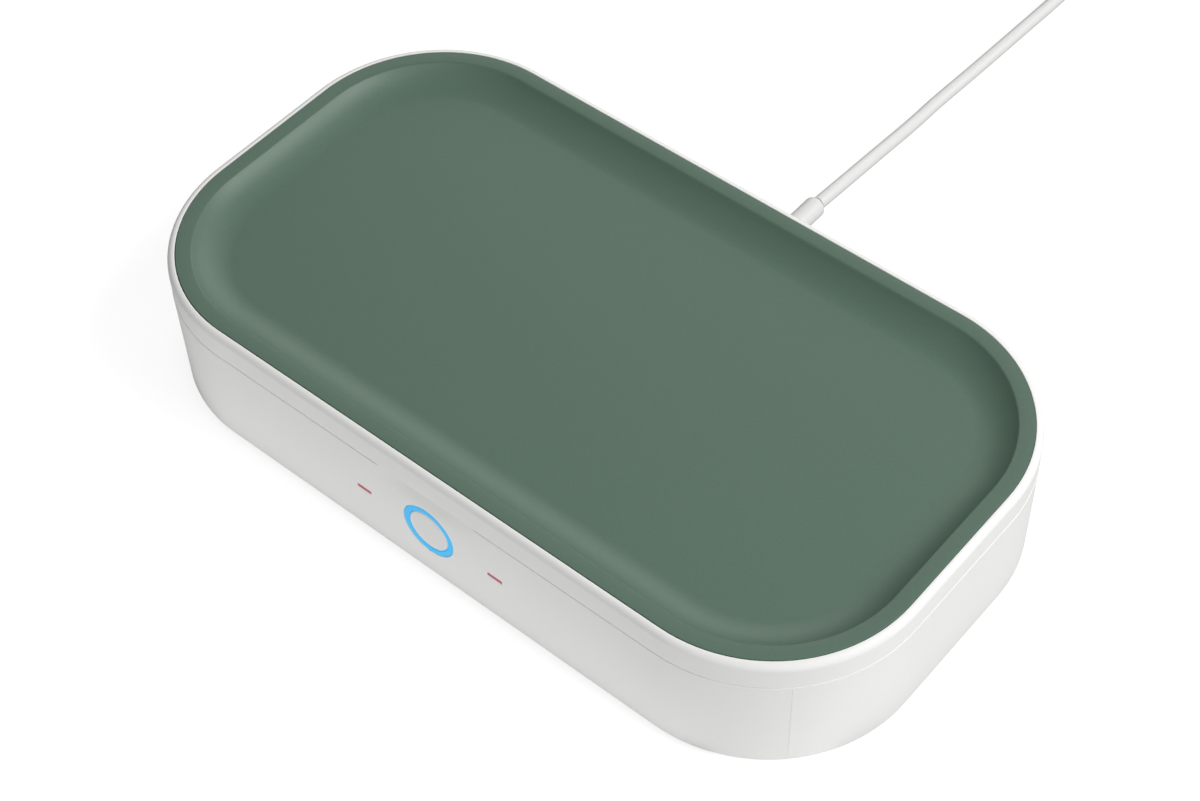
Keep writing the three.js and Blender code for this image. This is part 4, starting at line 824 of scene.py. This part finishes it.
def add_lid_frame():
    piece = make("lid_frame_look", ring_of([
        *arc(LID_SETBACK + LID_LIP_ROUND, LID_LIP + LID_LIP_ROUND, LID_LIP_ROUND, 270, 180),
        *arc(LID_SETBACK + RIM_ROUND, LID_TOP - RIM_ROUND, RIM_ROUND, 180, 90, 2 * EDGE_STEPS),
        *arc(LID_WALL - RIM_INNER_ROUND, LID_TOP - RIM_INNER_ROUND, RIM_INNER_ROUND, 90, 0),
        (LID_WALL, LID_LEDGE_TOP),
        (LID_LEDGE_INNER, LID_LEDGE_TOP),
        (LID_LEDGE_INNER, LID_LEDGE_TOP - LID_LEDGE_THICKNESS),
        (LID_WALL, LID_LEDGE_TOP - LID_LEDGE_THICKNESS),
        (LID_WALL, LID_BOTTOM),
        (LID_LIP_DEPTH, LID_BOTTOM),
        (LID_LIP_DEPTH, LID_LIP),
    ]))
    for side in (-1, 1):
        carve(piece, knuckle(LID_KNUCKLE_LOOP, *sorted(side * x for x in LID_KNUCKLE)), "UNION")
        carve(piece, pin_bore(side))
    carve(piece, knuckle(LID_KNUCKLE_LOOP, *LEAD_KNUCKLE), "UNION")
    carve(piece, lead_bore(LID_LEAD))
    _, _, shank, _ = LID_SCREW
    for x, y in corner_places(LID_SCREW_INSET):
        bottom, top = INNER_FLANGE_TOP + FIT_GAP, LID_LEDGE_TOP - LID_LEDGE_THICKNESS
        carve(piece, moved(rod(LID_BOSS_RADIUS, bottom, top + LID_BOSS_OVERLAP), x, y), "UNION")
        carve(piece, moved(rod(shank + FIT_GAP, bottom - CUT_OVERRUN, top), x, y))
    finished(piece, white_shell, "lid", ["lid_frame"])


def add_tray():
    """The dish is an arc that leaves the band at a slope and runs out flat on the floor."""
    slope = 2 * math.atan(TRAY_DEPTH / TRAY_DISH_WIDTH)
    radius = TRAY_DISH_WIDTH / math.sin(slope)
    degrees = math.degrees(slope)
    floor_inset = TRAY_EDGE + TRAY_BAND + TRAY_DISH_WIDTH
    centre = TRAY_TOP - TRAY_DEPTH + radius
    rim_bottom = TRAY_TOP - TRAY_RIM_THICKNESS
    outer = radius + TRAY_THICKNESS
    outer_degrees = math.degrees(math.acos((centre - rim_bottom) / outer))
    dish = plate_of([
        *arc(floor_inset, centre, outer, 270, 270 - outer_degrees, DISH_STEPS),
        (TRAY_EDGE, rim_bottom),
        *arc(TRAY_EDGE + TRAY_EDGE_ROUND, TRAY_TOP - TRAY_EDGE_ROUND, TRAY_EDGE_ROUND, 180, 90),
        *arc(floor_inset, centre, radius, 270 - degrees, 270, DISH_STEPS),
    ])
    piece = make("charging_tray_look", moved(dish, 0, TRAY_SHIFT))
    finished(piece, green_tray, "lid", ["charging_tray"], sharp=60)


def add_bottom_cover():
    edge = BASE_WALL + FIT_GAP
    piece = make("bottom_cover_look", plate_of([
        *arc(edge + COVER_ROUND, COVER_BOTTOM + COVER_ROUND, COVER_ROUND, 270, 180),
        (edge, COVER_TOP),
    ]))
    head, head_height, shank, _ = COVER_SCREW
    seats = [
        moved(rod(FOOT_RADIUS + FIT_GAP, COVER_BOTTOM - CUT_OVERRUN, COVER_BOTTOM + FOOT_SEAT), x, y)
        for x, y in four_places(FOOT_SPAN)
    ]
    for x, y in four_places(COVER_SCREW_SPAN):
        seat = COVER_BOTTOM + head_height + FIT_GAP
        carve(piece, moved(rod(shank + FIT_GAP, COVER_BOTTOM, COVER_TOP + CUT_OVERRUN), x, y))
        seats.append(moved(rod(head + FIT_GAP, COVER_BOTTOM - CUT_OVERRUN, seat), x, y))
    carve(piece, joined(*seats))
    finished(piece, white_cover, "base", ["bottom_cover"])


def add_feet():
    for name, (x, y) in zip(CORNER_NAMES, four_places(FOOT_SPAN)):
        edge = [(FOOT_RADIUS - inward, up) for inward, up in FOOT_EDGE]
        shape = turned([*edge, (FOOT_RADIUS, FOOT_HEIGHT)], FINE_SIDES)
        piece = make(f"foot_look_{name}", moved(shape, x, y))
        finished(piece, foot_rubber, "base", [f"foot_{name}"], sharp=40)


def add_screws(kind, sizes, places, bottom, body):
    """Screws with a rounded head that faces down and has a cross in it."""
    head, head_height, shank, length = sizes
    reach = head * CROSS_LENGTH_SHARE
    for name, (x, y) in zip(CORNER_NAMES, places):
        piece = make(f"{kind}_look_{name}", moved(turned([
            *[(head * out, head_height * up) for out, up in SCREW_HEAD_SHARES],
            (shank, head_height),
            (shank, head_height + length - SCREW_TIP),
            (shank * SCREW_TIP_SHARE, head_height + length),
        ]), x, y, bottom))
        for u, v in ((reach, CROSS_HALF_WIDTH), (CROSS_HALF_WIDTH, reach)):
            carve(piece, moved(block((-u, -v, -CUT_OVERRUN), (u, v, CROSS_DEPTH)), x, y, bottom))
        finished(piece, steel, body, [f"{kind}_{name}"])


def window_seats(low, high, seat_low, seat_high):
    """The stepped holes of the two windows: a wide seat and a narrower way for the light."""
    seats, ways = [], []
    for side in (-1, 1):
        x = side * LAMP_SPACING / 2
        seats.append(moved(rod(WINDOW_RADIUS + FIT_GAP, seat_low, seat_high, FINE_SIDES), x))
        ways.append(moved(rod(LAMP_HOLE_RADIUS, low, high, FINE_SIDES), x))
    return joined(*seats), joined(*ways)


def add_liner():
    outer = CHAMBER_INSET - LINER_WALL
    flange_edge = BASE_WALL + FIT_GAP
    piece = make("chamber_liner_look", plate_of([
        *arc(outer + CHAMBER_ROUND, LINER_UNDERSIDE + CHAMBER_ROUND, CHAMBER_ROUND, 270, 180),
        (outer, LINER_FLANGE_BOTTOM),
        (flange_edge, LINER_FLANGE_BOTTOM),
        *arc(flange_edge + SEAL_ROUND, LINER_TOP - SEAL_ROUND, SEAL_ROUND, 180, 90),
        *arc(CHAMBER_INSET - SEAM_ROUND, LINER_TOP - SEAM_ROUND, SEAM_ROUND, 90, 0),
        *arc(CHAMBER_INSET + CHAMBER_ROUND, CHAMBER_FLOOR + CHAMBER_ROUND, CHAMBER_ROUND, 180, 270),
    ]))
    for share in RIB_PLACE_SHARES:
        half = RIB_WIDTH / 2
        x = share * BOX_LENGTH
        bottom, top = CHAMBER_FLOOR - JOIN_OVERLAP, CHAMBER_FLOOR + RIB_HEIGHT
        rib = block((x - half, -RIB_LENGTH / 2, bottom), (x + half, RIB_LENGTH / 2, top))
        carve(piece, softened(make("tool", rib), RIB_EDGE, RIB_EDGE_STEPS), "UNION")
    seat = CHAMBER_FLOOR - WINDOW_THICKNESS - WINDOW_SEAT_GAP
    for holes in window_seats(
            LINER_UNDERSIDE - CUT_OVERRUN, CHAMBER_FLOOR, seat, CHAMBER_FLOOR + CUT_OVERRUN):
        carve(piece, holes)
    finished(piece, bright_liner, "base", ["chamber_liner"])


def add_inner_cover():
    inner = INNER_COVER_INSET + INNER_COVER_WALL
    groove_start = SEAL_INSET + SEAL_WIDTH + FIT_GAP
    groove_end = SEAL_INSET - FIT_GAP
    edge = INNER_COVER_ROUND
    piece = make("lid_inner_cover_look", plate_of([
        *arc(INNER_COVER_INSET + edge, CEILING_BOTTOM + edge, edge, 270, 180),
        (INNER_COVER_INSET, INNER_FLANGE_BOTTOM),
        (groove_start, INNER_FLANGE_BOTTOM),
        (groove_start, INNER_FLANGE_BOTTOM + SEAL_THICKNESS),
        (groove_end, INNER_FLANGE_BOTTOM + SEAL_THICKNESS),
        (groove_end, INNER_FLANGE_BOTTOM),
        *arc(INNER_COVER_EDGE + SEAL_ROUND, INNER_FLANGE_BOTTOM + SEAL_ROUND, SEAL_ROUND, 270, 180),
        (INNER_COVER_EDGE, INNER_FLANGE_TOP),
        (inner, INNER_FLANGE_TOP),
        (inner, CEILING_TOP),
    ]))
    head, _, shank, _ = LID_SCREW
    places = corner_places(LID_SCREW_INSET)
    low, high = INNER_FLANGE_BOTTOM - CUT_OVERRUN, INNER_FLANGE_BOTTOM + SCREW_SEAT_DEPTH
    carve(piece, joined(*(moved(rod(head + FIT_GAP, low, high), x, y) for x, y in places)))
    low, high = INNER_FLANGE_BOTTOM, INNER_FLANGE_TOP + CUT_OVERRUN
    carve(piece, joined(*(moved(rod(shank + FIT_GAP, low, high), x, y) for x, y in places)))
    seat = CEILING_BOTTOM + WINDOW_THICKNESS + WINDOW_SEAT_GAP
    for holes in window_seats(
            CEILING_BOTTOM, CEILING_TOP + CUT_OVERRUN, CEILING_BOTTOM - CUT_OVERRUN, seat):
        carve(piece, holes)
    finished(piece, bright_liner, "lid", ["lid_inner_cover"])


def add_seal():
    bottom = INNER_FLANGE_BOTTOM - SEAL_PROUD
    top = bottom + SEAL_THICKNESS
    far = SEAL_INSET + SEAL_WIDTH
    piece = make("light_seal_look", ring_of([
        *arc(SEAL_INSET + SEAL_ROUND, bottom + SEAL_ROUND, SEAL_ROUND, 270, 180),
        (SEAL_INSET, top),
        (far, top),
        *arc(far - SEAL_ROUND, bottom + SEAL_ROUND, SEAL_ROUND, 360, 270),
    ]))
    finished(piece, seal_rubber, "lid", ["light_seal"], sharp=50)


def add_windows(prefix, bottom, body):
    for name, side in (("left", -1), ("right", 1)):
        shape = turned([
            (WINDOW_RADIUS - WINDOW_EDGE, 0),
            (WINDOW_RADIUS, WINDOW_EDGE),
            (WINDOW_RADIUS, WINDOW_THICKNESS - WINDOW_EDGE),
            (WINDOW_RADIUS - WINDOW_EDGE, WINDOW_THICKNESS),
        ], FINE_SIDES)
        shape = moved(shape, side * LAMP_SPACING / 2, 0, bottom)
        piece = make(f"{prefix}_uv_window_look_{name}", shape)
        finished(piece, window_glass, body, [f"{prefix}_uv_window_{name}"])


def add_button():
    inner = RING_RADIUS - RING_TUBE_WALL
    flange = BASE_WALL + FIT_GAP
    ring = turned([
        (RING_RADIUS - RING_BAND, RING_EDGE),
        (RING_RADIUS - RING_BAND + RING_EDGE, 0),
        (RING_RADIUS - RING_EDGE, 0),
        (RING_RADIUS, RING_EDGE),
        (RING_RADIUS, flange),
        (RING_FLANGE_RADIUS, flange),
        (RING_FLANGE_RADIUS, flange + RING_FLANGE_THICKNESS),
        (RING_RADIUS, flange + RING_FLANGE_THICKNESS),
        (RING_RADIUS, RING_LENGTH),
        (inner, RING_LENGTH),
        (inner, RING_STEP),
        (RING_RADIUS - RING_BAND, RING_STEP),
        (RING_RADIUS - RING_BAND, RING_EDGE),
    ], FINE_SIDES)
    piece = make("ring_light_look", moved(ring, 0, FRONT_Y, BUTTON_Z, LAY_ALONG_Y))
    finished(piece, blue_light, "base", ["ring_light_guide"])
    radius = RING_RADIUS - RING_BAND - LENS_GAP
    flange_radius = inner - FIT_GAP
    flange = RING_STEP + FIT_GAP
    cap = turned([
        *[(radius - inward, along) for inward, along in CAP_EDGE],
        (radius, flange),
        (flange_radius, flange),
        (flange_radius, flange + CAP_FLANGE),
        (CAP_STEM_RADIUS, flange + CAP_FLANGE),
        (CAP_STEM_RADIUS, flange + CAP_FLANGE + CAP_STEM_LENGTH),
    ], FINE_SIDES)
    piece = make("button_cap_look", moved(cap, 0, FRONT_Y, BUTTON_Z, LAY_ALONG_Y))
    finished(piece, white_button, "power_button", ["button_cap"], sharp=50)


def add_marks():
    head = (MARK_LENGTH + 2 * MARK_HEAD_MARGIN, MARK_HEIGHT + 2 * MARK_HEAD_MARGIN, MARK_HEAD_MARGIN)
    face = (MARK_LENGTH - 2 * MARK_EDGE, MARK_HEIGHT - 2 * MARK_EDGE, LENS_GAP - MARK_EDGE)
    flange = BASE_WALL + FIT_GAP
    for name, side in (("left", -1), ("right", 1)):
        shape = skin([
            section(*face, 0),
            section(MARK_LENGTH, MARK_HEIGHT, LENS_GAP, MARK_EDGE),
            section(MARK_LENGTH, MARK_HEIGHT, LENS_GAP, flange),
            section(*head, flange),
            section(*head, RING_LENGTH),
        ])
        piece = make(f"indicator_look_{name}", moved(shape, side * MARK_SPACING / 2, FRONT_Y, MARK_Z))
        finished(piece, red_light, "base", [f"indicator_lens_{name}"])


def add_power_plug():
    sleeve = 2 * SLEEVE_RADIUS
    rows = [
        *PLUG_NEAR_END,
        *[(*less, PLUG_LENGTH - along) for *less, along in PLUG_FAR_END],
    ]
    loops = [
        section(PLUG_WIDTH - narrower, PLUG_HEIGHT - lower, PLUG_ROUND - sharper, along)
        for narrower, lower, sharper, along in rows
    ]
    for wider, higher, along in PLUG_NECK:
        loops.append(section(sleeve + wider, sleeve + higher, SLEEVE_RADIUS, PLUG_LENGTH + along))
    tip = [
        *[(SLEEVE_RADIUS - less, along) for less, along in SLEEVE_END],
        *[(CORD_RADIUS + more, along) for more, along in SLEEVE_MOUTH],
    ]
    end = PLUG_LENGTH + SLEEVE_LENGTH
    for radius, along in tip:
        loops.append(section(2 * radius, 2 * radius, radius, end - along))
    piece = make("power_plug_look", moved(skin(loops), PORT_X, BACK_Y + FIT_GAP, PORT_Z))
    return finished(piece, cord_jacket, "base", ["power_plug"], sharp=50)


def add_tie():
    """A strap with round corners about all the turns on the coil's -X side."""
    centre_x, centre_y = COIL_CENTRE
    inside = [p for p in coil if p.x < centre_x and abs(p.y - centre_y) < TIE_WIDTH]
    reach = CORD_RADIUS + TIE_GAP
    low_x = min(p.x for p in inside) - reach
    high_x = max(p.x for p in inside) + reach
    high_z = max(p.z for p in inside) + reach
    width, height = high_x - low_x, high_z - TIE_THICKNESS
    outer = (width + 2 * TIE_THICKNESS, height + 2 * TIE_THICKNESS, TIE_ROUND)
    inner = (width, height, TIE_ROUND - TIE_THICKNESS)
    edge = [value - 2 * TIE_EDGE for value in outer]
    half = TIE_WIDTH / 2
    shape = skin([
        section(*inner, -half),
        section(*edge, -half),
        section(*outer, TIE_EDGE - half),
        section(*outer, half - TIE_EDGE),
        section(*edge, half),
        section(*inner, half),
    ], True)
    shape = moved(shape, (low_x + high_x) / 2, centre_y, (high_z + TIE_THICKNESS) / 2)
    piece = make("cord_tie_look", shape)
    return finished(piece, tie_fabric, "base", ["cord_tie"], sharp=50)


def add_usb_plug():
    """The far plug lies on the floor, its shell pointing away from the cord, along -X."""
    away = Matrix.Rotation(-math.pi / 2, 3, "Z")
    end_x = coil[-1].x - FIT_GAP
    at = (end_x - USB_LENGTH, coil[-1].y, USB_HEIGHT / 2)
    grip = [
        section(USB_WIDTH - narrower, USB_HEIGHT - lower, rounding, along)
        for narrower, lower, rounding, along in USB_GRIP
    ]
    width, height, length = USB_SHELL
    tongue_width, tongue_height, tongue_length = USB_TONGUE
    top = height / 2 - USB_SHELL_WALL - FIT_GAP
    tongue = block(
        (-tongue_width / 2, -USB_SHELL_WALL - FIT_GAP - tongue_length, top - tongue_height),
        (tongue_width / 2, JOIN_OVERLAP, top),
    )
    piece = make("usb_plug_look", moved(skin(grip), *at, away))
    carve(piece, softened(make("tool", moved(tongue, *at, away)), USB_TONGUE_EDGE), "UNION")
    finished(piece, cord_jacket, "base", ["usb_plug"], sharp=50)
    outer_round, inner_round = USB_SHELL_ROUNDS
    inner = (width - 2 * USB_SHELL_WALL, height - 2 * USB_SHELL_WALL, inner_round)
    shell = skin([
        section(width, height, outer_round, -FIT_GAP),
        section(width, height, outer_round, -FIT_GAP - length),
        section(*inner, -FIT_GAP - length),
        section(*inner, -FIT_GAP),
    ], True)
    shell_piece = make("usb_plug_shell_look", moved(shell, *at, away))
    finished(shell_piece, steel, "base", ["usb_plug_shell"])
    return piece, shell_piece


add_base_shell()
add_lid_frame()
add_tray()
add_bottom_cover()
add_feet()
add_liner()
add_inner_cover()
add_seal()
add_windows("base", CHAMBER_FLOOR - WINDOW_THICKNESS, "base")
add_windows("lid", CEILING_BOTTOM, "lid")
add_button()
add_marks()
add_screws("cover_screw", COVER_SCREW, four_places(COVER_SCREW_SPAN), COVER_BOTTOM, "base")
add_screws("lid_screw", LID_SCREW, corner_places(LID_SCREW_INSET), LID_SCREW_Z, "lid")
power_plug = add_power_plug()
tie = add_tie()
usb_plug, usb_shell = add_usb_plug()

cord.data.materials.append(cord_jacket.material)
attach(cord, "base")
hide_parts("power_cord", "cord_coil")


def each_side(pattern):
    """The four names of a piece that the base and the lid have on both sides."""
    return [pattern.format(body, side) for body in ("base", "lid") for side in ("left", "right")]


# CAD nodes that stay as they are, inside the box or in its hinge
for surface, names in (
    (circuit_board, ("main_board", "front_board", "port_board", "lid_sensor", "charging_board")),
    (circuit_board, each_side("{}_uv_board_{}")),
    (black_plastic, ("button_switch", "switch_plunger")),
    (steel, ("power_socket", "power_plug_shell", "hinge_pin_left", "hinge_pin_right")),
    (steel, ("front_board_screw_left", "front_board_screw_right")),
    (magnet_plating, each_side("{}_magnet_{}")),
    (lead_jacket, ("base_harness", "lid_harness")),
    (copper, ("charging_coil",)),
    (ferrite, ("ferrite_sheet",)),
):
    for name in names:
        for material_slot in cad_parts[name].material_slots:
            material_slot.material = surface.material


# Light, floor and background

def ray_share(tree):
    """1 on what the camera sees, through glass too, 0 on what only lights the scene."""
    path = tree.nodes.new("ShaderNodeLightPath")
    add = tree.nodes.new("ShaderNodeMath")
    add.use_clamp = True
    tree.links.new(path.outputs["Is Camera Ray"], add.inputs[0])
    tree.links.new(path.outputs["Is Transmission Ray"], add.inputs[1])
    return add.outputs[0]


def add_world():
    world = bpy.data.worlds.new("world")
    bpy.context.scene.world = world
    world.use_nodes = True
    tree = world.node_tree
    background = tree.nodes["Background"]
    background.inputs["Color"].default_value = (1, 1, 1, 1)
    level = tree.nodes.new("ShaderNodeMapRange")
    level.inputs["To Min"].default_value = WORLD_LEVEL
    tree.links.new(ray_share(tree), level.inputs["Value"])
    tree.links.new(level.outputs["Result"], background.inputs["Strength"])


def add_floor():
    mesh = bpy.data.meshes.new("floor")
    half = FLOOR_HALF
    corners = [(-half, -half, 0), (half, -half, 0), (half, half, 0), (-half, half, 0)]
    mesh.from_pydata(corners, [], [(0, 1, 2, 3)])
    floor = bpy.data.objects.new("floor", mesh)
    bpy.context.scene.collection.objects.link(floor)
    material = bpy.data.materials.new("floor")
    material.use_nodes = True
    tree = material.node_tree
    shader = tree.nodes["Principled BSDF"]
    shader.inputs["Base Color"].default_value = (FLOOR_GREY, FLOOR_GREY, FLOOR_GREY, 1)
    shader.inputs["Roughness"].default_value = FLOOR_ROUGHNESS
    shader.inputs["Specular IOR Level"].default_value = 0
    shader.inputs["Emission Color"].default_value = (1, 1, 1, 1)
    lift = tree.nodes.new("ShaderNodeMath")
    lift.operation = "MULTIPLY"
    lift.inputs[1].default_value = FLOOR_LIFT
    tree.links.new(ray_share(tree), lift.inputs[0])
    tree.links.new(lift.outputs[0], shader.inputs["Emission Strength"])
    mesh.materials.append(material)


def add_lamp(name, power, width, height, where, aim):
    """A flat lamp that points at a place; the camera doesn't see it, nor do reflections see a glow."""
    data = bpy.data.lights.new(name, "AREA")
    data.energy = power
    data.shape = "RECTANGLE"
    data.size = width
    data.size_y = height
    lamp = bpy.data.objects.new(name, data)
    bpy.context.scene.collection.objects.link(lamp)
    lamp.location = where
    lamp.rotation_mode = "QUATERNION"
    lamp.rotation_quaternion = (Vector(aim) - Vector(where)).to_track_quat("-Z", "Y")
    lamp.visible_camera = False
    lamp.visible_glossy = not name.endswith("glow")


add_world()
add_floor()
for lamp in LAMPS:
    add_lamp(*lamp)
bpy.context.scene.view_settings.view_transform = "Standard"
